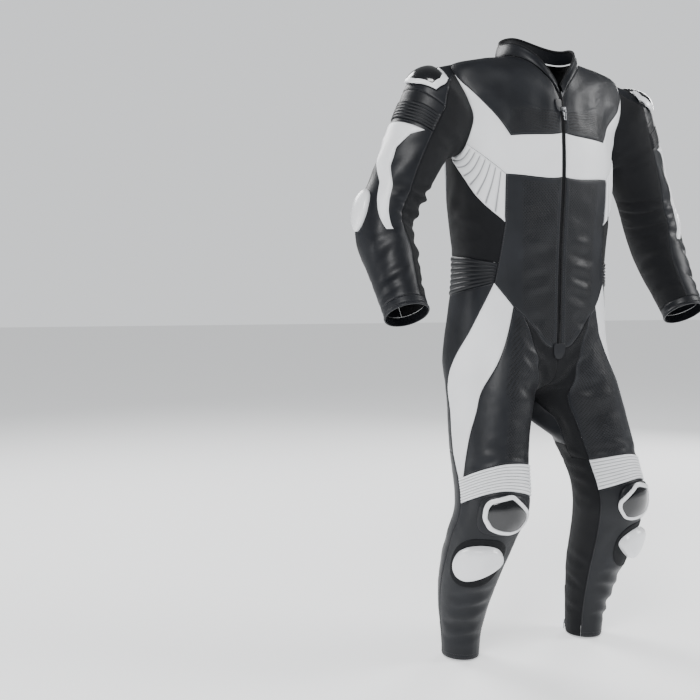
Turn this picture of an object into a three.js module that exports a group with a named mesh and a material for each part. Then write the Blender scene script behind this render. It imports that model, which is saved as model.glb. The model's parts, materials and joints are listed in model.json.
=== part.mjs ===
// Two-coloured leather race suit with pleated stretch zones, worn shape, empty inside
// millimetres, +Z up, +X is the left side of the suit, the front faces -Y
// zero lies between the shoulders at the base of the neck
import * as THREE from 'three'

// driving sizes
const wallHalf = 1.0
const seamInset = 0.25
const ribRise = 3.2
const blend = 46
const armholeFlare = 28
const zipHalfShare = 0.013
const neckHalfWidth = 90
const neckFrontZ = -46
const neckSideZ = 54
const neckBackZ = 88
const hemZ = -1308
const crotchZ = -714
const columns = 16

// trunk sections: height, half width, front and back depth, squareness
const trunkRows = [
  { z: 56, half: 100, front: -98, back: 76, square: 2.0 },
  { z: 40, half: 160, front: -106, back: 84, square: 2.0 },
  { z: 25, half: 192, front: -112, back: 92, square: 2.1 },
  { z: 0, half: 203, front: -117, back: 104, square: 2.2 },
  { z: -40, half: 205, front: -121, back: 116, square: 2.3 },
  { z: -90, half: 205, front: -127, back: 126, square: 2.3 },
  { z: -170, half: 204, front: -132, back: 132, square: 2.4 },
  { z: -240, half: 203, front: -132, back: 127, square: 2.4 },
  { z: -310, half: 198, front: -128, back: 118, square: 2.4 },
  { z: -380, half: 193, front: -124, back: 112, square: 2.3 },
  { z: -440, half: 191, front: -122, back: 113, square: 2.3 },
  { z: -500, half: 195, front: -122, back: 121, square: 2.3 },
  { z: -560, half: 201, front: -122, back: 131, square: 2.3 },
  { z: -620, half: 203, front: -118, back: 134, square: 2.2 },
  { z: -670, half: 198, front: -98, back: 116, square: 2.1 },
  { z: -705, half: 180, front: -58, back: 66, square: 2.0 },
  { z: -722, half: 165, front: -20, back: 25, square: 2.0 },
]

// leg sections: height, centre and the two radii
const legRows = [
  { z: -560, x: 92, y: 0, side: 66, deep: 88 },
  { z: -640, x: 104, y: -12, side: 90, deep: 114 },
  { z: -700, x: 121, y: -28, side: 93, deep: 110 },
  { z: -760, x: 136, y: -45, side: 89, deep: 101 },
  { z: -820, x: 148, y: -62, side: 85, deep: 95 },
  { z: -870, x: 155, y: -79, side: 82, deep: 90 },
  { z: -918, x: 161, y: -96, side: 80, deep: 86 },
  { z: -960, x: 165, y: -98, side: 79, deep: 84 },
  { z: -1000, x: 173, y: -82, side: 76, deep: 81 },
  { z: -1060, x: 179, y: -58, side: 72, deep: 77 },
  { z: -1125, x: 181, y: -32, side: 65, deep: 70 },
  { z: -1190, x: 181, y: -12, side: 54, deep: 59 },
  { z: -1255, x: 179, y: 1, side: 44, deep: 48 },
  { z: -1308, x: 178, y: 4, side: 41, deep: 45 },
]

// sleeve sections from the shoulder down: centre and radius
const armRows = [
  { x: 240, y: -14, z: -50, r: 83 },
  { x: 278, y: -10, z: -108, r: 77 },
  { x: 302, y: -7, z: -154, r: 71 },
  { x: 334, y: -4, z: -215, r: 66 },
  { x: 354, y: -1, z: -262, r: 63 },
  { x: 376, y: 2, z: -310, r: 64 },
  { x: 384, y: -10, z: -360, r: 62 },
  { x: 382, y: -38, z: -410, r: 58 },
  { x: 383, y: -66, z: -458, r: 52 },
  { x: 383, y: -92, z: -500, r: 48 },
  { x: 383, y: -107, z: -525, r: 47 },
]

// rings of the body from the neck to the hem: heights at centre front, side and centre back,
// how sharply the front dips, and how far out the ring is centred
const ringRows = [
  { front: neckFrontZ, side: neckSideZ, back: neckBackZ, dip: 0.7, out: 0 },
  { front: -63, side: 47, back: 60, dip: 0.8, out: 0 },
  { front: -85, side: 25, back: 28, dip: 1.1, out: 0 },
  { front: -110, side: -8, back: -6, dip: 1.4, out: 0 },
  { front: -140, side: -50, back: -45, dip: 1.7, out: 0 },
  { front: -172, side: -98, back: -90, dip: 2, out: 0 },
  { front: -208, side: -148, back: -140, dip: 2, out: 0 },
  { front: -250, side: -202, back: -195, dip: 2, out: 0 },
  { front: -300, side: -262, back: -255, dip: 2, out: 0 },
  { front: -355, side: -325, back: -320, dip: 2, out: 0 },
  { front: -410, side: -390, back: -385, dip: 2, out: 0 },
  { front: -465, side: -455, back: -450, dip: 2, out: 0 },
  { front: -520, side: -515, back: -515, dip: 2, out: 0 },
  { front: -575, side: -575, back: -578, dip: 2, out: 8 },
  { front: -628, side: -636, back: -636, dip: 2, out: 34 },
  { front: -674, side: -694, back: -682, dip: 2, out: 76 },
  { front: crotchZ, side: -742, back: crotchZ, dip: 2, out: 0 },
  { front: -768, side: -786, back: -768, dip: 2, out: 0 },
  { front: -826, side: -832, back: -826, dip: 2, out: 0 },
  { front: -874, side: -874, back: -874, dip: 2, out: 0 },
  { front: -918, side: -918, back: -918, dip: 2, out: 0 },
  { front: -962, side: -962, back: -962, dip: 2, out: 0 },
  { front: -1010, side: -1010, back: -1010, dip: 2, out: 0 },
  { front: -1065, side: -1065, back: -1065, dip: 2, out: 0 },
  { front: -1125, side: -1125, back: -1125, dip: 2, out: 0 },
  { front: -1190, side: -1190, back: -1190, dip: 2, out: 0 },
  { front: -1252, side: -1252, back: -1252, dip: 2, out: 0 },
  { front: hemZ, side: hemZ, back: hemZ, dip: 2, out: 0 },
]
const crotchRing = 16

// the armhole on the body, one row per eighth of a turn from the armpit over the front
const armholeRows = [
  { s: 0.5, z: -170 },
  { s: 0.44, z: -150 },
  { s: 0.404, z: -95 },
  { s: 0.428, z: -32 },
  { s: 0.5, z: 28 },
  { s: 0.572, z: 8 },
  { s: 0.615, z: -50 },
  { s: 0.585, z: -125 },
]

// small vector helpers
const add = (a, b, k = 1) => [a[0] + b[0] * k, a[1] + b[1] * k, a[2] + b[2] * k]
const sub = (a, b) => [a[0] - b[0], a[1] - b[1], a[2] - b[2]]
const dot = (a, b) => a[0] * b[0] + a[1] * b[1] + a[2] * b[2]
const cross = (a, b) => [
  a[1] * b[2] - a[2] * b[1], a[2] * b[0] - a[0] * b[2], a[0] * b[1] - a[1] * b[0]]
const unit = (a) => { const l = Math.hypot(...a) || 1; return a.map((c) => c / l) }
const mix = (a, b, k) => a.map((c, i) => c + (b[i] - c) * k)
const clamp = (v, lo, hi) => Math.min(hi, Math.max(lo, v))
const spline = (a, b, c, d, k) => a.map((_, i) => {
  const m = (c[i] - a[i]) / 2, n = (d[i] - b[i]) / 2, e = c[i] - b[i]
  return b[i] + m * k + (3 * e - 2 * m - n) * k * k + (m + n - 2 * e) * k * k * k
})

// a row of a table at a height, eased between rows
function rowAt(rows, z) {
  let i = 0
  while (i < rows.length - 2 && z < rows[i + 1].z) i++
  const k = clamp((rows[i].z - z) / (rows[i].z - rows[i + 1].z), 0, 1)
  const out = {}
  for (const key of Object.keys(rows[0])) {
    const at = (j) => [rows[clamp(j, 0, rows.length - 1)][key]]
    out[key] = spline(at(i - 1), at(i), at(i + 1), at(i + 2), k)[0]
  }
  return out
}

// how far a point lies outside the trunk, a leg, the upper sleeve and all of them softly joined
function trunkSide(x, y, z) {
  const r = rowAt(trunkRows, z)
  const mid = (r.front + r.back) / 2, deep = (r.back - r.front) / 2
  const q = Math.hypot(x, y - mid)
  const share = (Math.abs(x / r.half) ** r.square + Math.abs((y - mid) / deep) ** r.square) ** (1 / r.square)
  const cap = Math.max(0, z - 56, -724 - z)
  return q * (1 - 1 / Math.max(share, 0.05)) + cap
}
function legSide(x, y, z) {
  const r = rowAt(legRows, z)
  const dx = x - r.x, dy = y - r.y
  const share = Math.hypot(dx / r.side, dy / r.deep)
  return Math.hypot(dx, dy) * (1 - 1 / Math.max(share, 0.05)) + Math.max(0, z + 560)
}
function armSide(p) {
  const from = [armRows[0].x, armRows[0].y, armRows[0].z]
  const to = [armRows[3].x, armRows[3].y, armRows[3].z]
  const along = sub(to, from)
  const k = clamp(dot(sub(p, from), along) / dot(along, along), 0, 1)
  return Math.hypot(...sub(p, add(from, along, k))) - (armRows[0].r + (armRows[3].r - armRows[0].r) * k)
}
function softMin(a, b, k) {
  const h = Math.max(k - Math.abs(a - b), 0) / k
  return Math.min(a, b) - h * h * k / 4
}
function outside(p) {
  let f = trunkSide(...p)
  if (p[2] < -480) f = softMin(f, softMin(legSide(...p), legSide(-p[0], p[1], p[2]), blend), blend)
  if (p[2] > -260) f = softMin(f, armSide(p), blend)
  return f
}
function ray(from, dir, far, field) {
  let lo = 0, hi = far
  for (let i = 0; i < 26; i++) {
    const m = (lo + hi) / 2
    if (field(add(from, dir, m)) < 0) lo = m
    else hi = m
  }
  return (lo + hi) / 2
}

// control grid of the body
const neckAt = (s) => {
  const a = Math.PI * s
  const side = Math.max(Math.sin(a), 0)
  const end = s < 0.5 ? neckFrontZ : neckBackZ
  return [neckHalfWidth * side ** 0.9, -26 - 92 * Math.cos(a),
    end + (neckSideZ - end) * side ** (s < 0.5 ? 0.7 : 1.6)]
}
function ringPoint(ring, s) {
  const row = ringRows[ring]
  const side = Math.max(Math.sin(Math.PI * s), 0)
  const end = s < 0.5 ? row.front : row.back
  const z = end + (row.side - end) * side ** (s < 0.5 ? row.dip : 2)
  if (ring === 0) return neckAt(s)
  if (ring >= crotchRing) {
    const r = rowAt(legRows, z)
    const a = Math.PI * (2 * s - 1)
    if (ring === crotchRing && (s === 0 || s === 1)) return [0, -14, crotchZ]
    const dir = [Math.cos(a), Math.sin(a), 0]
    const d = ray([r.x, r.y, z], dir, 200, outside)
    const flat = dir[0] < 0 ? r.x / -dir[0] : 1e9
    return add([r.x, r.y, z], dir, Math.min(d, flat))
  }
  const mid = -8
  const ends = [row.front, row.back].map((h, i) =>
    [0, mid + (i ? 1 : -1) * ray([0, mid, h], [0, i ? 1 : -1, 0], 220, outside), h])
  if (s === 0) return ends[0]
  if (s === 1) return ends[1]
  const centre = [row.out, mid, z]
  const a0 = Math.atan2(ends[0][1] - mid, -row.out), a1 = Math.atan2(ends[1][1] - mid, -row.out)
  const a = a0 + (a1 - a0) * s
  const dir = [Math.cos(a), Math.sin(a), 0]
  const own = ray(centre, dir, 330, (p) => trunkSide(...p))
  const reach = z > -300 ? own + armholeFlare * clamp((z + 150) / 70, 0.15, 1) : 330
  return add(centre, dir, Math.min(ray(centre, dir, 330, outside), reach))
}
const bodyGrid = ringRows.map((_, ring) =>
  Array.from({ length: columns + 1 }, (__, j) => ringPoint(ring, j / columns)))
bodyGrid[1] = bodyGrid[0].map((p, j) => {
  const m = mix(p, bodyGrid[2][j], 0.5)
  return [m[0], m[1], m[2] + 3 * Math.sin(Math.PI * j / columns)]
})
const flip = (p) => [-p[0], p[1], p[2]]
function gridPoint(ring, j) {
  const row = bodyGrid[clamp(ring, 0, bodyGrid.length - 1)]
  if (ring >= crotchRing) return row[((j % columns) + columns) % columns]
  if (j < 0) return flip(row[-j])
  if (j > columns) return flip(row[2 * columns - j])
  return row[j]
}
function gridRow(ring, s) {
  const j = Math.floor(s * columns + 1e-9)
  const k = s * columns - j
  return spline(gridPoint(ring, j - 1), gridPoint(ring, j), gridPoint(ring, j + 1),
    gridPoint(ring, j + 2), k)
}
function along(rowOf, count, t) {
  const i = clamp(Math.floor(t), 0, count - 2)
  const first = rowOf(i), next = rowOf(i + 1)
  const before = i ? rowOf(i - 1) : add(first, sub(first, next))
  const after = i < count - 2 ? rowOf(i + 2) : add(next, sub(next, first))
  return spline(before, first, next, after, t - i)
}
const bodyAt = ([s, t]) => along((i) => gridRow(i, s), ringRows.length, t)

// body place from a share of the way round and a height
function at(s, z) {
  let lo = 0, hi = ringRows.length - 1
  for (let i = 0; i < 26; i++) {
    const m = (lo + hi) / 2
    if (bodyAt([s, m])[2] > z) lo = m
    else hi = m
  }
  return [s, (lo + hi) / 2]
}

// armhole and sleeve
function armhole(u) {
  const n = armholeRows.length
  const k = ((u % 1) + 1) % 1 * n
  const i = Math.floor(k)
  const row = (j) => { const r = armholeRows[(j + n) % n]; return [r.s, r.z] }
  const [s, z] = spline(row(i - 1), row(i), row(i + 1), row(i + 2), k - i)
  return at(s, z)
}
const armCentres = armRows.map((r) => [r.x, r.y, r.z])
function sleeveRing(i, u) {
  const prev = armCentres[Math.max(i - 1, 0)], next = armCentres[Math.min(i + 1, armRows.length - 1)]
  const dir = unit(sub(next, prev))
  const outer = unit(add([1, 0, 0], dir, -dir[0]))
  const ahead = cross(dir, outer)
  const a = 2 * Math.PI * u
  return add(add(armCentres[i], outer, -armRows[i].r * Math.cos(a)), ahead, armRows[i].r * Math.sin(a))
}
const armCount = armRows.length + 1
const armGrid = Array.from({ length: armCount }, (_, i) => Array.from({ length: 16 }, (__, j) => {
  const u = j / 16
  if (i === 0) return bodyAt(armhole(u))
  if (i > 2) return sleeveRing(i - 1, u)
  // under the arm the first rings run straight from the armpit to the inner sleeve
  const under = mix(bodyAt(armhole(u)), sleeveRing(2, u), i / 3)
  return mix(under, sleeveRing(i - 1, u), Math.sin(Math.PI * u) ** (i === 1 ? 2 : 1.2))
}))
function armRowAt(i, u) {
  const k = ((u % 1) + 1) % 1 * 16
  const j = Math.floor(k)
  const g = (m) => armGrid[i][(m + 16) % 16]
  return spline(g(j - 1), g(j), g(j + 1), g(j + 2), k - j)
}
const armAt = ([u, v]) => along((i) => armRowAt(i, u), armCount, v)

// outward direction of a surface at a place
function facing(chart, [a, b]) {
  const e = 0.004
  const da = sub(chart([a + e, b]), chart([a - e, b]))
  const db = sub(chart([a, b + 0.05]), chart([a, Math.max(b - 0.05, 0)]))
  return unit(cross(db, da))
}
function armholeFacing(u) {
  return unit(add(facing(bodyAt, armhole(u)), facing(armAt, [u, 0.02])))
}

// seams: each is shared by the pieces on both of its sides
// way: points as share of the way round and height, or as chart places
const seams = {}
function bodySeam(name, count, way) {
  const places = way.map((w) => (typeof w[1] === 'string' ? [w[0], +w[1]] : at(...w)))
  seams[name] = sampleWay(places, count, bodyAt)
}
function armSeam(name, count, way) {
  seams[name] = sampleWay(way, count, armAt)
}
function sampleWay(way, count, chart) {
  const lengths = way.slice(1).map((w, i) => Math.hypot(...sub(chart(w), chart(way[i]))))
  const total = lengths.reduce((a, b) => a + b, 0)
  return Array.from({ length: count + 1 }, (_, i) => {
    let want = total * i / count, k = 0
    while (k < lengths.length - 1 && want > lengths[k]) want -= lengths[k++]
    const share = clamp(want / lengths[k], 0, 1)
    const place = way.length > 2
      ? spline(way[Math.max(k - 1, 0)], way[k], way[k + 1], way[Math.min(k + 2, way.length - 1)], share)
      : mix(way[k], way[k + 1], share)
    return { place, p: chart(place), n: facing(chart, place) }
  })
}
// the armhole seam from one sixteenth to another, with its place on the body and on the sleeve
function armholeSeam(name, from, to) {
  const step = Math.sign(to - from)
  const body = [], sleeve = []
  for (let i = from; i !== to + step; i += step) {
    const u = i / 16
    const spot = { p: bodyAt(armhole(u)), n: armholeFacing(u) }
    body.push({ place: armhole(u), ...spot })
    sleeve.push({ place: [u, 0], ...spot, room: 2.4 })
  }
  seams[name + 'Body'] = body
  seams[name + 'Sleeve'] = sleeve
}
// a seam by name, turned round with a leading minus, moved a whole turn with a trailing plus
// or minus sign
function side(names) {
  const out = []
  for (const raw of names) {
    const turned = raw[0] === '-'
    const shift = raw.endsWith('+') ? 1 : raw.endsWith('~') ? -1 : 0
    const key = raw.replace(/^-/, '').replace(/[+~]$/, '')
    let list = seams[key].map((v) => ({ ...v, place: [v.place[0] + shift, v.place[1]] }))
    if (turned) list = list.reverse()
    if (out.length) list = list.slice(1)
    out.push(...list)
  }
  return out
}
// more points on the straight pieces of a seam
function fill(list, count) {
  const out = list.map((v) => ({ ...v }))
  while (out.length - 1 < count) {
    let best = 0, far = -1
    for (let i = 0; i < out.length - 1; i++) {
      const d = Math.hypot(...sub(out[i + 1].p, out[i].p))
      if (d > far) { far = d; best = i }
    }
    const a = out[best], b = out[best + 1]
    out.splice(best + 1, 0, {
      place: mix(a.place, b.place, 0.5), p: mix(a.p, b.p, 0.5), n: unit(mix(a.n, b.n, 0.5)) })
  }
  return out
}
// grid of surface points between four sides
function patch(chart, { top, bottom, left, right, rows = 0, cols = 0 }) {
  let [t, b, l, r] = [top, bottom, left, right].map(side)
  const nc = Math.max(t.length - 1, b.length - 1, cols), nr = Math.max(l.length - 1, r.length - 1, rows)
  t = fill(t, nc); b = fill(b, nc); l = fill(l, nr); r = fill(r, nr)
  const grid = []
  for (let i = 0; i <= nr; i++) {
    const row = []
    for (let j = 0; j <= nc; j++) {
      if (i === 0) row.push(t[j])
      else if (i === nr) row.push(b[j])
      else if (j === 0) row.push(l[i])
      else if (j === nc) row.push(r[i])
      else {
        const u = j / nc, v = i / nr
        const place = [0, 1].map((c) => (1 - v) * t[j].place[c] + v * b[j].place[c]
          + (1 - u) * l[i].place[c] + u * r[i].place[c]
          - (1 - u) * (1 - v) * t[0].place[c] - u * (1 - v) * t[nc].place[c]
          - (1 - u) * v * b[0].place[c] - u * v * b[nc].place[c])
        row.push({ place, p: chart(place), n: facing(chart, place) })
      }
    }
    grid.push(row)
  }
  return grid
}
// draw the rim of a grid in by the seam allowance
function drawIn(grid, by = seamInset, closed = false) {
  const nr = grid.length - 1, nc = grid[0].length - 1
  const out = grid.map((row) => row.map((v) => ({ ...v })))
  const loop = []
  if (closed) {
    for (let j = 0; j <= nc; j++) {
      for (const [i, k] of [[0, 1], [nr, nr - 1]]) {
        out[i][j].p = add(grid[i][j].p, unit(sub(grid[k][j].p, grid[i][j].p)), by)
      }
    }
    return out
  }
  for (let j = 0; j < nc; j++) loop.push([0, j])
  for (let i = 0; i < nr; i++) loop.push([i, nc])
  for (let j = nc; j > 0; j--) loop.push([nr, j])
  for (let i = nr; i > 0; i--) loop.push([i, 0])
  const inward = (k, last) => (k === 0 ? 1 : k === last ? last - 1 : k)
  let votes = 0
  const pulls = loop.map(([i, j], k) => {
    const before = loop[(k + loop.length - 1) % loop.length], after = loop[(k + 1) % loop.length]
    const v = grid[i][j]
    const e1 = unit(sub(v.p, grid[before[0]][before[1]].p)), e2 = unit(sub(grid[after[0]][after[1]].p, v.p))
    const d1 = unit(cross(v.n, e1)), d2 = unit(cross(v.n, e2))
    const inner = grid[inward(i, nr)][inward(j, nc)].p
    votes += Math.sign(dot(add(d1, d2), sub(inner, v.p)))
    return [d1, d2]
  })
  loop.forEach(([i, j], k) => {
    const sum = add(...pulls[k])
    const len = clamp(2 / Math.max(dot(sum, sum), 0.5), 0.5, 2.2)
    out[i][j].p = add(grid[i][j].p, sum, Math.sign(votes) * by * len * (grid[i][j].room || 1))
  })
  return out
}
// closed solid from a grid: raise and sink give the outer and inner distance at a row and column
function wall(grid, raise, sink, closed = false) {
  const nr = grid.length - 1, nc = grid[0].length - 1
  const points = []
  const cells = []
  const cols = closed ? nc : nc + 1
  for (const [way, sign] of [[raise, 1], [sink, -1]]) {
    for (let i = 0; i <= nr; i++) {
      for (let j = 0; j < cols; j++) {
        const v = grid[i][j]
        points.push(add(v.p, v.n, sign * way(i, j, nr, nc)))
      }
    }
  }
  const at2 = (layer, i, j) => layer * (nr + 1) * cols + i * cols + (closed ? j % nc : j)
  const quad = (a, b, c, d) => cells.push([a, b, c], [a, c, d])
  const apart = (a, b) => Math.hypot(...sub(points[a], points[b]))
  for (let i = 0; i < nr; i++) {
    for (let j = 0; j < nc; j++) {
      // each cell is split along its shorter diagonal, alike on both faces
      const [a, b, c, d] = [[i, j], [i + 1, j], [i + 1, j + 1], [i, j + 1]].map(([m, n]) => at2(0, m, n))
      const [e, f, g, h] = [a, b, c, d].map((v) => v + (nr + 1) * cols)
      if (apart(a, c) < apart(b, d)) { quad(a, b, c, d); quad(e, h, g, f); continue }
      quad(b, c, d, a)
      cells.push([f, e, h], [f, h, g])
    }
  }
  // the rim is split from the higher outer corner, so two pieces meet with like faces
  const rim = (a, b, c, d) => {
    if (points[a][2] > points[b][2]) quad(a, b, c, d)
    else cells.push([a, b, d], [b, c, d])
  }
  for (let j = 0; j < nc; j++) {
    rim(at2(0, 0, j), at2(0, 0, j + 1), at2(1, 0, j + 1), at2(1, 0, j))
    rim(at2(0, nr, j + 1), at2(0, nr, j), at2(1, nr, j), at2(1, nr, j + 1))
  }
  if (!closed) {
    for (let i = 0; i < nr; i++) {
      rim(at2(0, i + 1, 0), at2(0, i, 0), at2(1, i, 0), at2(1, i + 1, 0))
      rim(at2(0, i, nc), at2(0, i + 1, nc), at2(1, i + 1, nc), at2(1, i, nc))
    }
  }
  return { points, cells }
}
function volume({ points, cells }) {
  return cells.reduce((sum, [a, b, c]) => sum + dot(points[a], cross(points[b], points[c])), 0)
}
const group = new THREE.Group()
function put(name, body, color, roughness = 0.6) {
  const solid = volume(body) < 0 ? { ...body, cells: body.cells.map(([a, b, c]) => [a, c, b]) } : body
  const shape = new THREE.BufferGeometry()
  shape.setAttribute('position', new THREE.Float32BufferAttribute(solid.points.flat(), 3))
  shape.setIndex(solid.cells.flat())
  const mesh = new THREE.Mesh(shape, new THREE.MeshStandardMaterial({ color, roughness }))
  mesh.name = name
  group.add(mesh)
}
function pair(name, body, color, roughness) {
  put(name + '_l', body, color, roughness)
  put(name + '_r', { points: body.points.map(flip), cells: body.cells }, color, roughness)
}

// seams of the body, from the collar down
const hole = (i) => { const [s, t] = armhole(i / 16); return [s, String(t), i] }
function wayBody(name, count, way) {
  bodySeam(name, count, way)
  for (const [w, v] of [[way[0], seams[name][0]], [way[way.length - 1], seams[name][count]]]) {
    if (w.length > 2) v.n = armholeFacing(w[2] / 16)
  }
}
armholeSeam('holeDiag', 2, 7)
armholeSeam('holeTop', 7, 10)
armholeSeam('holeRibs', 10, 13)
armholeSeam('holeStripe', 13, 14)
armholeSeam('holeSide', 14, 15)
armholeSeam('holeUnder', 15, 18)
const bodySeams = [
  { name: 'yokeNeck', count: 5, way: [[zipHalfShare, '0'], [0.25, '0'], [0.5, '0']] },
  { name: 'capNeck', count: 2, way: [[0.5, '0'], [0.62, '0']] },
  { name: 'backNeck', count: 4, way: [[0.62, '0'], [1, '0']] },
  { name: 'zipTop', count: 3, way: [[zipHalfShare, '0'], [zipHalfShare, -124]] },
  { name: 'zipBand', count: 2, way: [[zipHalfShare, -124], [zipHalfShare, -221]] },
  { name: 'zipLow', count: 8, way: [[zipHalfShare, -221], [zipHalfShare, -602]] },
  { name: 'sleeveSeam', count: 3, way: [[0.5, '0'], [0.483, 24], hole(7)] },
  { name: 'tip', count: 1, way: [hole(7), [0.436, -16]] },
  { name: 'diagInner', count: 6, way: [[0.436, -16], [0.378, -58], [0.285, -135]] },
  { name: 'bandTop', count: 5, way: [[zipHalfShare, -124], [0.285, -135]] },
  { name: 'bandBottom', count: 5, way: [[zipHalfShare, -221], [0.3, -218]] },
  { name: 'bandEnd', count: 3, way: [hole(2), [0.3, -218]] },
  { name: 'frontEdgeA', count: 2, way: [[0.3, -218], [0.305, -323]] },
  { name: 'frontEdgeB', count: 2, way: [[0.305, -323], [0.335, -412]] },
  { name: 'frontEdgeC', count: 1, way: [[0.335, -412], [0.35, -455]] },
  { name: 'underLow', count: 4, way: [hole(15), [0.41, -262], [0.305, -323]] },
  { name: 'lowA', count: 2, way: [[0.35, -455], [0.275, -508]] },
  { name: 'lowB', count: 1, way: [[0.275, -508], [0.225, -530]] },
  { name: 'lowC', count: 4, way: [[0.225, -530], [0.1, -592], [zipHalfShare, -602]] },
  { name: 'stripeLeft', count: 5, way: [hole(14), [0.588, -224], [0.622, -290], [0.7, -390]] },
  { name: 'stripeTop', count: 1, way: [hole(13), [0.66, -105]] },
  { name: 'stripeRight', count: 6, way: [[0.66, -105], [0.652, -224], [0.69, -300], [0.78, -402]] },
  { name: 'stripeEnd', count: 1, way: [[0.7, -390], [0.78, -402]] },
  { name: 'waistTop', count: 6, way: [[0.335, -412], [0.5, -396], [0.7, -390]] },
  { name: 'waistBottom', count: 6, way: [[0.35, -455], [0.5, -474], [0.71, -492]] },
  { name: 'lumbarSide', count: 2, way: [[0.7, -390], [0.71, -492]] },
  { name: 'lumbarBottom', count: 4, way: [[0.71, -492], [0.86, -516], [1, -530]] },
  { name: 'backBottom', count: 3, way: [[0.78, -402], [1, -402]] },
  { name: 'centreBack', count: 9, way: [[1, '0'], [1, -402]] },
  { name: 'centreLumbar', count: 2, way: [[1, -402], [1, -530]] },
  { name: 'capBack', count: 2, way: [[0.62, '0'], [0.602, 38]] },
  { name: 'ribsTop', count: 1, way: [hole(10), [0.602, 38]] },
  { name: 'ribsInner', count: 3, way: [[0.602, 38], [0.668, 0], [0.69, -52], [0.66, -105]] },
  { name: 'centreFront', count: 4, way: [[zipHalfShare, -602], [0, -616], [0, '16']] },
  { name: 'inseam', count: 4, way: [[0, '16'], [0, -830]] },
  { name: 'inseamLow', count: 1, way: [[0, -830], [0, -858]] },
  { name: 'centreSeat', count: 4, way: [[1, -530], [1, '16']] },
  { name: 'thighInner', count: 8, way: [[0.225, -530], [0.12, -643], [0.1, -712], [0.1, -803], [0.1, -858]] },
  { name: 'stripeIn', count: 7,
    way: [[0.275, -508], [0.31, -605], [0.384, -724], [0.44, -830], [0.47, -878]] },
  { name: 'stripeOutA', count: 7, way: [[0.35, -455], [0.43, -555], [0.54, -680], [0.53, -830]] },
  { name: 'stripeOutB', count: 1, way: [[0.53, -830], [0.505, -884]] },
  { name: 'stripeEndLow', count: 1, way: [[0.47, -878], [0.505, -884]] },
  { name: 'kneeTop', count: 4, way: [[0.1, -858], [0.286, -846], [0.47, -878]] },
  { name: 'kneeInnerTop', count: 1, way: [[0, -858], [0.1, -858]] },
  { name: 'ribsInnerSide', count: 1, way: [[0.1, -858], [0.1, -925]] },
  { name: 'ribsOuterSide', count: 1, way: [[0.505, -884], [0.5, -935]] },
  { name: 'kneeLow', count: 5, way: [[0.1, -925], [0.3, -902], [0.5, -935]] },
  { name: 'kneeBackA', count: 4, way: [[0.53, -830], [0.87, -830]] },
  { name: 'kneeBackB', count: 1, way: [[0.87, -830], [1, -830]] },
  { name: 'shinInner', count: 7, way: [[0.1, -925], [0.12, hemZ]] },
  { name: 'shinOuter', count: 7, way: [[0.5, -935], [0.52, -1100], [0.56, hemZ]] },
  { name: 'calfSeam', count: 8, way: [[0.87, -830], [0.85, hemZ]] },
  { name: 'hemShin', count: 4, way: [[0.12, hemZ], [0.56, hemZ]] },
  { name: 'hemBack', count: 3, way: [[0.56, hemZ], [0.85, hemZ]] },
  { name: 'hemStretch', count: 3, way: [[-0.15, hemZ], [0.12, hemZ]] },
]
for (const { name, count, way } of bodySeams) wayBody(name, count, way)
// the crotch point faces down on every piece that meets there
const crotchFacing = unit([-0.2, 0, -1])
for (const name of ['centreFront', 'centreSeat']) seams[name][4].n = crotchFacing
seams.inseam[0].n = crotchFacing

// seams of the sleeve, as share of the way round and ring
const ribTopV = 1.55, ribLowV = 2.6, cuffV = 10.2, endV = armCount - 1
const armSeams = [
  { name: 'capFront', count: 2, way: [[7 / 16, 0], [0.35, 0.8], [0.3, ribTopV]] },
  { name: 'capRear', count: 2, way: [[10 / 16, 0], [0.645, 0.8], [0.65, ribTopV]] },
  { name: 'ribTop', count: 5, way: [[0.3, ribTopV], [0.65, ribTopV]] },
  { name: 'ribLow', count: 5, way: [[0.28, ribLowV], [0.66, ribLowV]] },
  { name: 'ribFront', count: 1, way: [[0.3, ribTopV], [0.28, ribLowV]] },
  { name: 'ribRear', count: 1, way: [[0.65, ribTopV], [0.66, ribLowV]] },
  { name: 'outFront', count: 8, way: [[0.28, ribLowV], [0.26, 4], [0.235, 6], [0.19, 8], [0.19, cuffV]] },
  { name: 'outRear', count: 8, way: [[0.66, ribLowV], [0.72, 4], [0.78, 6], [0.8, 8], [0.8, cuffV]] },
  { name: 'cuffOut', count: 5, way: [[0.19, cuffV], [0.8, cuffV]] },
  { name: 'cuffIn', count: 4, way: [[0.8, cuffV], [1.19, cuffV]] },
]
for (const { name, count, way } of armSeams) {
  armSeam(name, count, way)
  if (way[0][1] === 0) seams[name][0].n = armholeFacing(way[0][0])
}

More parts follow.
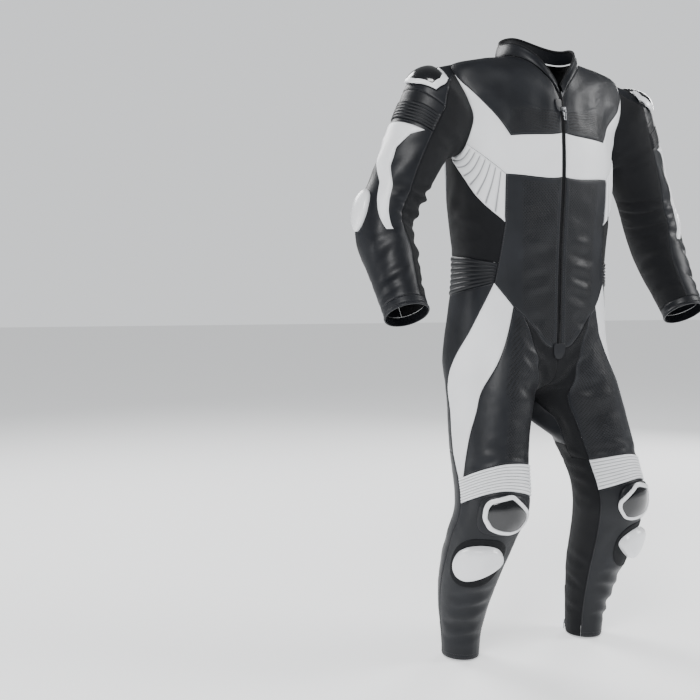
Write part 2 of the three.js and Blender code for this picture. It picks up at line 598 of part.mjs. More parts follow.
// one flat wall and one pleated wall
const flat = () => wallHalf
const pleatDown = (i, j, nr, nc) => wallHalf + (i % 2 && j && j < nc ? ribRise : 0)
const pleatBelowArm = (i, j, nr, nc) => (i < 3 ? wallHalf : pleatDown(i, j, nr, nc))
const pleatAcross = (i, j, nr) => wallHalf + (j % 2 && i && i < nr ? ribRise : 0)
const keepOff = (body) => ({
  ...body, points: body.points.map((p) => [Math.max(p[0], seamInset), p[1], p[2]]) })
const black = 0x23262b, stretch = 0x17181b, white = 0xe6e8ea, hard = 0x101114
const bodyPieces = [
  { name: 'yoke', color: black, top: ['yokeNeck'], left: ['zipTop'],
    right: ['sleeveSeam', 'tip', 'diagInner'], bottom: ['bandTop'] },
  { name: 'chest_white', color: white, top: ['-tip'], left: ['diagInner', '-bandTop'],
    right: ['-holeDiagBody', 'bandEnd', '-bandBottom'], bottom: ['zipBand'] },
  { name: 'underarm_ribs', color: white, top: ['holeUnderBody'], left: ['underLow'],
    right: ['bandEnd'], bottom: ['-frontEdgeA'], rows: 16, form: pleatBelowArm },
  { name: 'front_lower', color: black, top: ['bandBottom'], left: ['zipLow'],
    right: ['frontEdgeA', 'frontEdgeB', 'frontEdgeC'], bottom: ['-lowC', '-lowB', '-lowA'] },
  { name: 'side_stretch', color: stretch, top: ['-underLow', '-holeSideBody'], left: ['frontEdgeB'],
    right: ['stripeLeft'], bottom: ['waistTop'] },
  { name: 'waist_ribs', color: stretch, top: ['waistTop'], left: ['frontEdgeC'],
    right: ['lumbarSide'], bottom: ['waistBottom'], rows: 12, form: pleatDown },
  { name: 'back_main', color: black, top: ['backNeck'], left: ['capBack', 'ribsInner', 'stripeRight'],
    right: ['centreBack'], bottom: ['backBottom'] },
  { name: 'back_stripe', color: white, top: ['-holeStripeBody', 'stripeTop'], left: ['stripeLeft'],
    right: ['stripeRight'], bottom: ['stripeEnd'] },
  { name: 'shoulder_ribs', color: white, top: ['ribsTop'], left: ['holeRibsBody'],
    right: ['ribsInner'], bottom: ['stripeTop'], cols: 12, form: pleatAcross },
  { name: 'seat_back', color: black, top: ['waistBottom', 'lumbarBottom'], left: ['stripeOutA'],
    right: ['centreSeat', 'inseam+'], bottom: ['kneeBackA', 'kneeBackB'] },
  { name: 'crotch_stretch', color: stretch, top: ['-lowC'], left: ['centreFront', 'inseam', 'inseamLow'],
    right: ['thighInner'], bottom: ['kneeInnerTop'] },
  { name: 'thigh_stripe', color: white, top: ['-lowA'], left: ['stripeIn'],
    right: ['stripeOutA', 'stripeOutB'], bottom: ['stripeEndLow'] },
  { name: 'thigh_front', color: black, top: ['-lowB'], left: ['thighInner'],
    right: ['stripeIn'], bottom: ['kneeTop'] },
  { name: 'knee_ribs', color: white, top: ['kneeTop', 'stripeEndLow'], left: ['ribsInnerSide'],
    right: ['ribsOuterSide'], bottom: ['kneeLow'], rows: 18, form: pleatDown },
  { name: 'shin', color: black, top: ['kneeLow'], left: ['shinInner'],
    right: ['shinOuter'], bottom: ['hemShin'] },
  { name: 'calf_stretch', color: stretch, top: ['kneeBackB~', 'inseamLow', 'kneeInnerTop'],
    left: ['calfSeam~'], right: ['ribsInnerSide', 'shinInner'], bottom: ['hemStretch'] },
  { name: 'calf_back', color: black, top: ['kneeBackA'], left: ['stripeOutB', 'ribsOuterSide', 'shinOuter'],
    right: ['calfSeam'], bottom: ['hemBack'] },
]
for (const piece of bodyPieces) {
  const grid = drawIn(patch(bodyAt, piece))
  pair(piece.name, keepOff(wall(grid, piece.form || flat, flat)), piece.color)
}
const sleevePieces = [
  { name: 'sleeve_ribs', color: stretch, top: ['ribTop'], left: ['ribFront'],
    right: ['ribRear'], bottom: ['ribLow'], rows: 12, form: pleatDown },
  { name: 'sleeve_outer', color: black, top: ['ribLow'], left: ['outFront'],
    right: ['outRear'], bottom: ['cuffOut'], rows: 10, cols: 8 },
  { name: 'sleeve_inner', color: stretch,
    top: ['holeRibsSleeve', 'holeStripeSleeve', 'holeSideSleeve', 'holeUnderSleeve', 'holeDiagSleeve+'],
    left: ['capRear', 'ribRear', 'outRear'], right: ['capFront+', 'ribFront+', 'outFront+'],
    bottom: ['cuffIn'] },
]
const sleeveGrids = {}
for (const piece of sleevePieces) {
  sleeveGrids[piece.name] = patch(armAt, piece)
  pair(piece.name, wall(drawIn(sleeveGrids[piece.name]), piece.form || flat, flat), piece.color)
}
// the sleeve cap runs from the collar over the armhole line down to the pleats
const capUpper = patch(bodyAt, { top: ['capNeck'], left: ['sleeveSeam'],
  right: ['capBack', '-ribsTop'], bottom: ['holeTopBody'], cols: 5 })
const capLower = patch(armAt, { top: ['holeTopSleeve'], left: ['capFront'],
  right: ['capRear'], bottom: ['ribTop'], rows: 3 })
pair('sleeve_cap', wall(drawIn([...capUpper, ...capLower.slice(1)]), flat, flat), black)

// cuff band, a closed ring
const cuffTop = side(['cuffOut', 'cuffIn'])
const cuffGrid = [0, 1, 2].map((i) => cuffTop.map((v) => {
  const place = [v.place[0], cuffV + (endV - cuffV) * i / 2]
  return i ? { place, p: armAt(place), n: facing(armAt, [place[0], Math.min(place[1], endV - 0.06)]) } : v
}))
pair('cuff', wall(drawIn(cuffGrid, seamInset, true), flat, flat, true), stretch)

// pleated panel across the small of the back, one piece over the centre
function whole(half) {
  return half.map((row) => [...row, ...row.slice(0, -1).reverse().map((v) => (
    { place: v.place, p: flip(v.p), n: flip(v.n) }))])
}
const plainBand = (i) => i > 8 && i < 13
const lumbar = whole(patch(bodyAt, { top: ['stripeEnd', 'backBottom'], left: ['lumbarSide'],
  right: ['centreLumbar'], bottom: ['lumbarBottom'], rows: 24 }))
put('lumbar_ribs', wall(drawIn(lumbar), (i, j, nr, nc) =>
  plainBand(i) ? wallHalf : pleatDown(i, j, nr, nc), flat), stretch)

// collar band: it leans in towards the neck as it rises
const collarRise = (s) => 16 + 17 * Math.sin(Math.PI * s / 2)
const collarLean = 0.08
const collarGrid = [0, 0.5, 1].map((k) => {
  const half = Array.from({ length: 13 }, (_, j) => {
    const s = zipHalfShare + (1 - zipHalfShare) * j / 12
    const base = neckAt(s)
    const lean = 1 - collarLean * k
    const p = [base[0] * lean, -26 + (base[1] + 26) * lean, base[2] + 1.9 + collarRise(s) * k]
    const e = neckAt(Math.min(s + 0.01, 1)), b = neckAt(Math.max(s - 0.01, 0.002))
    const round = s > 0.99 ? [-1, 0, 0] : sub([e[0], e[1], 0], [b[0], b[1], 0])
    return { place: [s, k], p, n: unit([round[1], -round[0], 0]) }
  })
  return [...half, ...half.slice(0, -1).reverse().map((v) => ({ ...v, p: flip(v.p), n: flip(v.n) }))]
})
put('collar', wall(collarGrid, () => 1.5, () => 1.5), black)

// front zip between the halves, the chain raised along its middle
const zipWide = 4.6
const onCollar = [0.96, 0.5, 0.1].map((k) => [0, 1].map((mid) => {
  const base = neckAt(0), lean = 1 - collarLean * k
  return { p: [mid ? 0 : zipWide * 0.72, -26 + (base[1] + 26) * lean, base[2] + 1.9 + collarRise(0) * k],
    n: [0, -1, 0] }
}))
const onBody = Array.from({ length: 16 }, (_, i) => {
  const z = neckFrontZ - 12 - (600 + neckFrontZ - 12) * i / 15
  return [0, 1].map((mid) => {
    const place = at(0, z)
    return { p: add(bodyAt(place), [mid ? 0 : zipWide, 0, 0]), n: facing(bodyAt, place) }
  })
})
put('front_zip', wall(whole([...onCollar, ...onBody]), (i, j) => (j === 1 ? 2.6 : 0.8), () => 0.8), hard)

// zip slider and its pull: a plate with a lug, and a tab with a fork that swings on the lug
function prism(shape, from, to) {
  const outline = THREE.ShapeUtils.area(shape.map(([x, z]) => new THREE.Vector2(x, z))) < 0
    ? [...shape].reverse() : shape
  const n = outline.length
  const points = [from, to].flatMap((y) => outline.map(([x, z]) => [x, y, z]))
  const caps = THREE.ShapeUtils.triangulateShape(outline.map(([x, z]) => new THREE.Vector2(x, z)), [])
  const cells = caps.flatMap(([a, b, c]) => [[a, b, c], [a + n, c + n, b + n]])
  for (let i = 0; i < n; i++) {
    const j = (i + 1) % n
    cells.push([i, i + n, j + n], [i, j + n, j])
  }
  return { points, cells }
}
const swap = (body, map) => ({ ...body, points: body.points.map(map) })
const lugZ = -76, seatGap = 0.35
const [chainTop, chainNext] = [onBody[0][1], onBody[1][1]].map((v) => add(v.p, v.n, 2.6))
const lean = Math.atan2(chainTop[1] - chainNext[1], chainTop[2] - chainNext[2])
const zipFront = [0, chainNext[1] + (lugZ - chainNext[2]) * Math.tan(lean) - seatGap * Math.cos(lean),
  lugZ + seatGap * Math.sin(lean)]
// from the slider's own across, back and up to the suit
const onZip = ([x, y, z]) => [x, zipFront[1] + y * Math.cos(lean) + z * Math.sin(lean),
  zipFront[2] - y * Math.sin(lean) + z * Math.cos(lean)]
const sliderSide = [[0, 9], [-2.6, 9], [-2.6, 2.2], [-6.6, 2.2], [-6.6, -2.2], [-2.6, -2.2], [-2.6, -9],
  [0, -9]]
put('zip_slider', swap(prism(sliderSide, -1.7, 1.7),
  ([y, x, z]) => onZip([x * (Math.abs(z) > 5 ? 2.4 : 1), y, z])), 0x8a8d92, 0.3)
const tab = [[2.3, 1.8], [4.4, 1.8], [4.4, -8], [3.4, -22], [-3.4, -22], [-4.4, -8], [-4.4, 1.8],
  [-2.3, 1.8], [-2.3, -3.6], [2.3, -3.6]]
put('zip_pull', swap(prism(tab, -5.4, -3.6), onZip), 0x8a8d92, 0.3)

// hard caps that lie on the panels: centre, half sizes, rise in the middle, edge and clearance
function pad(chart, { centre, half, turns, rise, edge, lift, square = 2, shares = [0.5, 0.82, 1] }) {
  const low = [], high = []
  const place = (a, k) => {
    const c = Math.cos(a), s = Math.sin(a)
    const r = k / (Math.abs(c) ** square + Math.abs(s) ** square) ** (1 / square)
    return [centre[0] + half[0] * c * r, centre[1] + half[1] * s * r]
  }
  const spot = (a, k) => {
    const w = place(a, k)
    const p = chart(w), n = facing(chart, w)
    low.push(add(p, n, lift))
    high.push(add(p, n, lift + edge + (rise - edge) * Math.sqrt(1 - k * k)))
  }
  spot(0, 0)
  for (const k of shares) for (let j = 0; j < turns; j++) spot(2 * Math.PI * j / turns, k)
  const n = low.length
  const cells = []
  for (let j = 0; j < turns; j++) {
    const m = (j + 1) % turns
    cells.push([0, 1 + m, 1 + j], [n, n + 1 + j, n + 1 + m])
    for (let i = 0; i < shares.length - 1; i++) {
      const a = 1 + i * turns + j, b = 1 + i * turns + m, c = a + turns, d = b + turns
      cells.push([a, b, d], [a, d, c], [n + a, n + d, n + b], [n + a, n + c, n + d])
    }
    const a = 1 + (shares.length - 1) * turns + j, b = 1 + (shares.length - 1) * turns + m
    cells.push([a, b, n + b], [a, n + b, n + a])
  }
  return { points: [...low, ...high], cells }
}
pair('knee_cup', pad(bodyAt, { centre: at(0.292, -950), half: [0.108, 0.96], turns: 16,
  rise: 12, edge: 4, lift: 2.6, square: 2.6 }), hard, 0.25)
pair('knee_slider', pad(bodyAt, { centre: at(0.335, -1062), half: [0.112, 0.8], turns: 16,
  rise: 24, edge: 3, lift: 2.4 }), white, 0.35)
pair('shoulder_cup', pad(armAt, { centre: [0.5, 0.82], half: [0.1, 0.4], turns: 14,
  rise: 10, edge: 3, lift: 2.5, square: 2.6 }), hard, 0.25)
pair('elbow_slider', pad(armAt, { centre: [0.5, 6.1], half: [0.075, 0.72], turns: 14,
  rise: 12, edge: 3, lift: 2.1 }), white, 0.35)

// white piece laid on the outer sleeve, narrowing towards the cuff
const laidOn = 4.1
// how far down the outer sleeve and how far over from its front edge, as shares
const whiteRows = [
  { down: 0.02, front: 0.1, rear: 0.92 },
  { down: 0.07, front: 0.24, rear: 0.8 },
  { down: 0.16, front: 0.33, rear: 0.66 },
  { down: 0.26, front: 0.3, rear: 0.53 },
  { down: 0.36, front: 0.2, rear: 0.36 },
  { down: 0.48, front: 0.14, rear: 0.26 },
  { down: 0.6, front: 0.12, rear: 0.19 },
]
function onGrid(grid, down, over) {
  const i = clamp(Math.floor(down), 0, grid.length - 2), j = clamp(Math.floor(over), 0, grid[0].length - 2)
  const across = (key) => mix(mix(grid[i][j][key], grid[i][j + 1][key], over - j),
    mix(grid[i + 1][j][key], grid[i + 1][j + 1][key], over - j), down - i)
  return { p: across('p'), n: unit(across('n')) }
}
const whiteGrid = whiteRows.map((r) => Array.from({ length: 7 }, (_, j) =>
  onGrid(sleeveGrids.sleeve_outer, r.down * 10, (r.front + (r.rear - r.front) * j / 6) * 8)))
pair('sleeve_white', wall(whiteGrid, () => laidOn + 1.6, () => -laidOn), white)

// low hump between the shoulders, wide at the collar and pointed below
const humpRows = [
  { z: 66, wide: 55, rise: 5, lift: 6.5 },
  { z: 42, wide: 54, rise: 13, lift: 4.6 },
  { z: 2, wide: 46, rise: 20, lift: 2.4 },
  { z: -42, wide: 34, rise: 20, lift: 1.8 },
  { z: -82, wide: 21, rise: 14, lift: 1.8 },
  { z: -122, wide: 8, rise: 5, lift: 1.8 },
]
const humpHalf = humpRows.map((r) => Array.from({ length: 4 }, (_, j) => {
  const x = r.wide * (1 - j / 3)
  let s = 1
  for (let k = 0; k < 40 && bodyAt(at(s, r.z))[0] < x; k++) s -= 0.005
  const place = at(s, r.z)
  const p = bodyAt(place)
  return { p: [x, p[1], p[2]], n: facing(bodyAt, place), high: j === 0 ? 3 : r.rise * [0, 0.75, 0.95, 1][j] }
}))
const humpGrid = whole(humpHalf)
const humpHigh = (i, j, nr, nc) => humpHalf[i][Math.min(j, nc - j)].high
put('hump', wall(humpGrid, (i, j, nr, nc) => humpRows[i].lift + Math.max(humpHigh(i, j, nr, nc), 3),
  (i) => -humpRows[i].lift), black)

export default group
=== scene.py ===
import json
import math
import bmesh
import bpy
import numpy as np
from mathutils import Matrix, Vector, noise

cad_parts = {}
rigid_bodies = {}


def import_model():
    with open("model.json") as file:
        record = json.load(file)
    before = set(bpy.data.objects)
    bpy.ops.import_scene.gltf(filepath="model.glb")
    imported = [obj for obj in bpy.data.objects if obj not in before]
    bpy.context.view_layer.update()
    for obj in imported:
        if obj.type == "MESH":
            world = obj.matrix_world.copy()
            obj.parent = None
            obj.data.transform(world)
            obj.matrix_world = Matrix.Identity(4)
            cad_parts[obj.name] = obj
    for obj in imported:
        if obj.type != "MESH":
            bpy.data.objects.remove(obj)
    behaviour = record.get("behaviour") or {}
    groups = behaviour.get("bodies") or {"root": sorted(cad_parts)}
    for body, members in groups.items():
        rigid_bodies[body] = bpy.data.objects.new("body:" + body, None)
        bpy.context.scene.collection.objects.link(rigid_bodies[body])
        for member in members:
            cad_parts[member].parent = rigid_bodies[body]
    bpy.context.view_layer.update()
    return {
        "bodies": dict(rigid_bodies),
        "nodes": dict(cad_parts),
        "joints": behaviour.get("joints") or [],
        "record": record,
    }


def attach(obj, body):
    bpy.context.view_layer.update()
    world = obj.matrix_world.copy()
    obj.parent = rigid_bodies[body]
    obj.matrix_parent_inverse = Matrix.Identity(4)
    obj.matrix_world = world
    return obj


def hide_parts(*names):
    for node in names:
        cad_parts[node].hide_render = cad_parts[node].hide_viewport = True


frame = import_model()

print("frame loaded:", len(frame["nodes"]), "solids")
mm = 0.001  # the suit is worked out in millimetres and built in metres

# camera where the photo was taken from, looking past the suit so that it stands at the right
shot = {"azimuth": -36.0, "away": 2.435, "height": -0.493, "turn": 9.83, "down": 2.8, "view": 37.8}


def makeCamera():
    data = bpy.data.cameras.new("camera")
    camera = bpy.data.objects.new("camera", data)
    bpy.context.scene.collection.objects.link(camera)
    around = math.radians(shot["azimuth"])
    camera.location = (shot["away"] * math.sin(around), -shot["away"] * math.cos(around), shot["height"])
    turn = math.radians(shot["azimuth"] + shot["turn"])
    camera.rotation_euler = (math.radians(90 - shot["down"]), 0, turn)
    data.sensor_width = 36
    data.lens = 18 / math.tan(math.radians(shot["view"] / 2))
    data.clip_end = 50
    bpy.context.scene.camera = camera


# materials
def newMaterial(name, color, roughness, **more):
    material = bpy.data.materials.new(name)
    material.use_nodes = True
    shader = material.node_tree.nodes["Principled BSDF"]
    shader.inputs["Base Color"].default_value = (*color, 1)
    shader.inputs["Roughness"].default_value = roughness
    for key, value in more.items():
        shader.inputs[key.replace("_", " ")].default_value = value
    return material, shader


def addNode(tree, kind, links=None, settings=None, **values):
    made = tree.nodes.new("ShaderNode" + kind)
    for key, value in (settings or {}).items():
        setattr(made, key, value)
    for key, value in values.items():
        made.inputs[key.replace("_", " ")].default_value = value
    for key, source in (links or {}).items():
        tree.links.new(source, made.inputs[key])
    return made


def between(tree, source, low, high, toLow=0.0, toHigh=1.0):
    made = addNode(tree, "MapRange", {"Value": source}, From_Min=low, From_Max=high, To_Min=toLow,
                   To_Max=toHigh)
    return made.outputs["Result"]


def times(tree, a, b):
    made = addNode(tree, "Math", settings={"operation": "MULTIPLY"})
    for k, value in enumerate((a, b)):
        if isinstance(value, float):
            made.inputs[k].default_value = value
        else:
            tree.links.new(value, made.inputs[k])
    return made.outputs[0]


def bump(tree, height, distance, strength, under=None):
    links = {"Height": height}
    if under:
        links["Normal"] = under
    return addNode(tree, "Bump", links, Distance=distance, Strength=strength).outputs["Normal"]


# base colour that drifts a little lighter and darker with factor
def toned(tree, shader, color, factor, spread):
    blend = addNode(tree, "Mix", settings={"data_type": "RGBA"})
    blend.inputs[6].default_value = (*[c * (1 - spread) for c in color], 1)
    blend.inputs[7].default_value = (*[min(c * (1 + spread), 1) for c in color], 1)
    tree.links.new(factor, blend.inputs[0])
    tree.links.new(blend.outputs[2], shader.inputs["Base Color"])
    return blend


leather = {"grainPerMetre": 820, "grainDepth": 0.00016, "pulledPerMetre": 55, "pulledDepth": 0.0011,
           "tonePerMetre": 13, "holePitch": 0.0052, "holeWide": 0.3}


def leatherMaterial(name, color, roughness, spread=0.18, holes=False, coat=0.06, grain=0.5, paintedValleyShade=False):
    # small grain, faint pull lines, slow patches of tone and gloss, holes where it is perforated, and, for
    # pleats, painted shade in the sewn valleys
    material, shader = newMaterial(name, color, roughness, Coat_Weight=coat, Coat_Roughness=0.24,
                                   Specular_IOR_Level=0.24 if color[0] < 0.1 else 0.4)
    tree = material.node_tree
    place = addNode(tree, "TexCoord").outputs["Object"]
    grainTexture = addNode(tree, "TexVoronoi", {"Vector": place}, {"feature": "F1"},
                           Scale=leather["grainPerMetre"], Randomness=0.9)
    pulled = addNode(tree, "TexNoise", {"Vector": place}, Scale=leather["pulledPerMetre"], Detail=4.0,
                     Roughness=0.55, Distortion=0.7)
    patches = addNode(tree, "TexNoise", {"Vector": place}, Scale=leather["tonePerMetre"], Detail=3.0)
    fine = addNode(tree, "TexNoise", {"Vector": place}, Scale=260.0, Detail=2.0)
    tone = between(tree, patches.outputs["Fac"], 0.3, 0.7)
    blend = toned(tree, shader, color, tone, spread)
    worn = addNode(tree, "Math", settings={"operation": "ADD"})
    tree.links.new(between(tree, patches.outputs["Fac"], 0.3, 0.7, roughness - 0.05, roughness + 0.05),
                   worn.inputs[0])
    tree.links.new(between(tree, fine.outputs["Fac"], 0.3, 0.7, -0.03, 0.04), worn.inputs[1])
    tree.links.new(worn.outputs[0], shader.inputs["Roughness"])
    normal = bump(tree, pulled.outputs["Fac"], leather["pulledDepth"], 0.3)
    normal = bump(tree, grainTexture.outputs["Distance"], leather["grainDepth"], grain, normal)
    if holes:
        flat = addNode(tree, "UVMap", settings={"uv_map": "cut"}).outputs["UV"]
        turned = addNode(tree, "Mapping", {"Vector": flat}, Rotation=(0, 0, math.radians(45)),
                         Scale=(1 / leather["holePitch"],) * 3)
        spots = addNode(tree, "TexVoronoi", {"Vector": turned.outputs[0]},
                        {"feature": "F1", "voronoi_dimensions": "2D"}, Scale=1.0, Randomness=0.0)
        holesAndValleyShade = between(tree, spots.outputs["Distance"], leather["holeWide"] + 0.06,
                          leather["holeWide"] - 0.03)
        where = addNode(tree, "Attribute", settings={"attribute_name": "holesAndValleyShade"}).outputs["Fac"]
        holesAndValleyShade = times(tree, holesAndValleyShade, where)
        dark = addNode(tree, "Mix", settings={"data_type": "RGBA"})
        dark.inputs[7].default_value = (0.003, 0.003, 0.0035, 1)
        tree.links.new(holesAndValleyShade, dark.inputs[0])
        tree.links.new(blend.outputs[2], dark.inputs[6])
        tree.links.new(dark.outputs[2], shader.inputs["Base Color"])
        normal = bump(tree, times(tree, holesAndValleyShade, -1.0), 0.0008, 0.8, normal)
    if paintedValleyShade:
        # painted shade: a dark grey mixed into the colour where the sewn valleys between pleats lie, standing in
        # for the shade gathered there
        where = addNode(tree, "Attribute", settings={"attribute_name": "holesAndValleyShade"}).outputs["Fac"]
        shade = addNode(tree, "Mix", settings={"data_type": "RGBA"})
        shade.inputs[7].default_value = (0.07, 0.075, 0.085, 1)
        tree.links.new(times(tree, where, 0.85), shade.inputs[0])
        tree.links.new(blend.outputs[2], shade.inputs[6])
        tree.links.new(shade.outputs[2], shader.inputs["Base Color"])
    tree.links.new(normal, shader.inputs["Normal"])
    return material


weave = {"pitch": 0.0011, "depth": 0.0003}


def stretchMaterial(name, color, spread=0.2):
    # matt woven stretch cloth, warp and weft from two waves on the flat cut
    material, shader = newMaterial(name, color, 0.86, Sheen_Weight=0.06, Sheen_Roughness=0.5,
                                   Specular_IOR_Level=0.15)
    tree = material.node_tree
    flat = addNode(tree, "UVMap", settings={"uv_map": "cut"}).outputs["UV"]
    scale = 2 * math.pi / (20 * weave["pitch"])
    waves = [addNode(tree, "TexWave", {"Vector": flat}, {"bands_direction": way}, Scale=scale,
                     Distortion=0.4, Detail=1.0).outputs["Fac"] for way in ("X", "Y")]
    threads = times(tree, waves[0], waves[1])
    patches = addNode(tree, "TexNoise", {"Vector": flat}, Scale=30.0, Detail=3.0)
    mixed = addNode(tree, "Math", settings={"operation": "MULTIPLY_ADD"})
    mixed.inputs[1].default_value = 0.6
    tree.links.new(patches.outputs["Fac"], mixed.inputs[0])
    tree.links.new(times(tree, threads, 0.4), mixed.inputs[2])
    toned(tree, shader, color, mixed.outputs[0], spread)
    tree.links.new(bump(tree, threads, weave["depth"], 0.7), shader.inputs["Normal"])
    return material


def plasticMaterial(name, color, roughness, coat=0.3, scuffed=0.05):
    # moulded plastic with faint scuffs
    material, shader = newMaterial(name, color, roughness, Coat_Weight=coat, Coat_Roughness=0.08)
    tree = material.node_tree
    place = addNode(tree, "TexCoord").outputs["Object"]
    stretched = addNode(tree, "Mapping", {"Vector": place}, Scale=(1.0, 1.0, 0.16),
                        Rotation=(0, math.radians(18), math.radians(30)))
    scuffs = addNode(tree, "TexNoise", {"Vector": stretched.outputs[0]}, Scale=420.0, Detail=5.0)
    clouds = addNode(tree, "TexNoise", {"Vector": place}, Scale=35.0, Detail=2.0)
    toned(tree, shader, color, clouds.outputs["Fac"], 0.05)
    tree.links.new(between(tree, scuffs.outputs["Fac"], 0.35, 0.75, roughness - scuffed / 2,
                           roughness + scuffed), shader.inputs["Roughness"])
    tree.links.new(bump(tree, scuffs.outputs["Fac"], 0.00008, 0.35), shader.inputs["Normal"])
    return material


def metalMaterial(name, color, roughness):
    # darkened zip metal, brushed along its length
    material, shader = newMaterial(name, color, roughness, Metallic=1.0)
    tree = material.node_tree
    place = addNode(tree, "TexCoord").outputs["Object"]
    stretched = addNode(tree, "Mapping", {"Vector": place}, Scale=(1.0, 1.0, 0.1))
    brushed = addNode(tree, "TexNoise", {"Vector": stretched.outputs[0]}, Scale=2600.0, Detail=3.0)
    toned(tree, shader, color, brushed.outputs["Fac"], 0.2)
    tree.links.new(between(tree, brushed.outputs["Fac"], 0.3, 0.7, roughness - 0.06, roughness + 0.1),
                   shader.inputs["Roughness"])
    return material


def threadMaterial(name, color, roughness=0.7):
    material, shader = newMaterial(name, color, roughness, Sheen_Weight=0.2)
    tree = material.node_tree
    place = addNode(tree, "TexCoord").outputs["Object"]
    strands = addNode(tree, "TexNoise", {"Vector": place}, Scale=1800.0, Detail=2.0)
    toned(tree, shader, color, strands.outputs["Fac"], 0.25)
    tree.links.new(bump(tree, strands.outputs["Fac"], 0.0001, 0.5), shader.inputs["Normal"])
    return material


def makeMaterials():
    black, white = (0.0078, 0.0088, 0.0115), (0.80, 0.81, 0.83)
    return {
        "black": leatherMaterial("blackLeather", black, 0.46),
        "holesAndValleyShade": leatherMaterial("blackLeatherPerforated", (0.0118, 0.0130, 0.0160), 0.48, holes=True),
        "pleated": leatherMaterial("blackLeatherPleated", (0.0078, 0.0086, 0.0108), 0.46, coat=0.03),
        "white": leatherMaterial("whiteLeather", white, 0.42, spread=0.03, coat=0.1, grain=0.3),
        # white pleated leather, with painted shade in the valleys between its pleats
        "whitePleated": leatherMaterial("whiteLeatherPleated", white, 0.44, spread=0.03, coat=0.08,
                                        grain=0.3,
                                        paintedValleyShade=True),
        "silver": leatherMaterial("silverLeather", (0.60, 0.62, 0.65), 0.36, spread=0.05, coat=0.15,
                                  grain=0.3),
        "stretch": stretchMaterial("blackStretch", (0.0085, 0.009, 0.0105)),
        "tape": stretchMaterial("zipTape", (0.008, 0.008, 0.009)),
        "whitePlastic": plasticMaterial("whitePlastic", (0.80, 0.81, 0.83), 0.32),
        "glossBlack": plasticMaterial("glossBlackPlastic", (0.006, 0.0065, 0.008), 0.16, coat=0.6),
        "metal": metalMaterial("zipMetal", (0.20, 0.205, 0.215), 0.34),
        "blackThread": threadMaterial("blackThread", (0.022, 0.023, 0.026), 0.6),
        "whiteThread": threadMaterial("whiteThread", (0.68, 0.69, 0.70)),
        "redTrim": threadMaterial("redTrim", (0.42, 0.012, 0.015), 0.5),
    }


studio = {
    "floor": (0.90, 0.905, 0.91), "glow": 0.6, "backdrop": 1.0, "fill": 0.2,
    "lamps": [  # place, size in metres, watts
        {"name": "lampKey", "at": (-2.6, -2.6, 1.9), "size": 1.6, "power": 150},
        {"name": "lampSide", "at": (2.9, -1.5, 1.2), "size": 1.4, "power": 95},
        {"name": "lampBack", "at": (-1.0, 3.1, 1.8), "size": 1.7, "power": 120},
        {"name": "lampRim", "at": (3.0, 2.2, 0.6), "size": 1.3, "power": 70},
        {"name": "lampLow", "at": (-3.2, 0.4, -0.6), "size": 1.2, "power": 26},
    ],
}


def makeStudio(hem):
    bpy.ops.mesh.primitive_plane_add(size=60, location=(0, 0, hem))
    floor = bpy.context.object
    floor.name = "floor"
    floor.data.materials.append(newMaterial("floorPaper", studio["floor"], 0.8, Specular_IOR_Level=0.1,
                                            Emission_Color=(0.97, 0.985, 1, 1),
                                            Emission_Strength=studio["glow"])[0])
    world = bpy.data.worlds.new("studio")
    bpy.context.scene.world = world
    world.use_nodes = True
    # a light backdrop that gives only a little fill, so that the black leather stays black
    tree = world.node_tree
    seen = tree.nodes.new("ShaderNodeLightPath").outputs["Is Camera Ray"]
    strength = between(tree, seen, 0.0, 1.0, studio["fill"], studio["backdrop"])
    background = tree.nodes["Background"]
    background.inputs[0].default_value = (0.96, 0.98, 1.0, 1)
    tree.links.new(strength, background.inputs[1])
    for lamp in studio["lamps"]:
        data = bpy.data.lights.new(lamp["name"], "AREA")
        data.size, data.energy = lamp["size"], lamp["power"]
        light = bpy.data.objects.new(lamp["name"], data)
        light.location = lamp["at"]
        aim = Vector((0, 0, -0.6)) - light.location
        light.rotation_euler = aim.to_track_quat("-Z", "Y").to_euler()
        bpy.context.scene.collection.objects.link(light)


# the suit's form, from the same sections as its solids, in millimetres
form = {"wallHalf": 1.0, "seamInset": 0.25, "blend": 46, "armholeFlare": 28, "zipHalfShare": 0.013,
        "neckHalfWidth": 90, "neckFrontZ": -46, "neckSideZ": 54, "neckBackZ": 88, "hemZ": -1308,
        "crotchZ": -714, "columns": 16, "crotchRing": 16}
# trunk: height, half width, front and back depth, squareness
trunkRows = np.array([
    (56, 100, -98, 76, 2.0), (40, 160, -106, 84, 2.0), (25, 192, -112, 92, 2.1), (0, 203, -117, 104, 2.2),
    (-40, 205, -121, 116, 2.3), (-90, 205, -127, 126, 2.3), (-170, 204, -132, 132, 2.4),
    (-240, 203, -132, 127, 2.4), (-310, 198, -128, 118, 2.4), (-380, 193, -124, 112, 2.3),
    (-440, 191, -122, 113, 2.3), (-500, 195, -122, 121, 2.3), (-560, 201, -122, 131, 2.3),
    (-620, 203, -118, 134, 2.2), (-670, 198, -98, 116, 2.1), (-705, 180, -58, 66, 2.0),
    (-722, 165, -20, 25, 2.0)], float)
# leg: height, centre x and y, radius across and in depth
legRows = np.array([
    (-560, 92, 0, 66, 88), (-640, 104, -12, 90, 114), (-700, 121, -28, 93, 110), (-760, 136, -45, 89, 101),
    (-820, 148, -62, 85, 95), (-870, 155, -79, 82, 90), (-918, 161, -96, 80, 86), (-960, 165, -98, 79, 84),
    (-1000, 173, -82, 76, 81), (-1060, 179, -58, 72, 77), (-1125, 181, -32, 65, 70),
    (-1190, 181, -12, 54, 59),
    (-1255, 179, 1, 44, 48), (-1308, 178, 4, 41, 45)], float)
# sleeve: centre x, y, z and radius
armRows = np.array([
    (240, -14, -50, 83), (278, -10, -108, 77), (302, -7, -154, 71), (334, -4, -215, 66),
    (354, -1, -262, 63),
    (376, 2, -310, 64), (384, -10, -360, 62), (382, -38, -410, 58), (383, -66, -458, 52),
    (383, -92, -500, 48),
    (383, -107, -525, 47)], float)
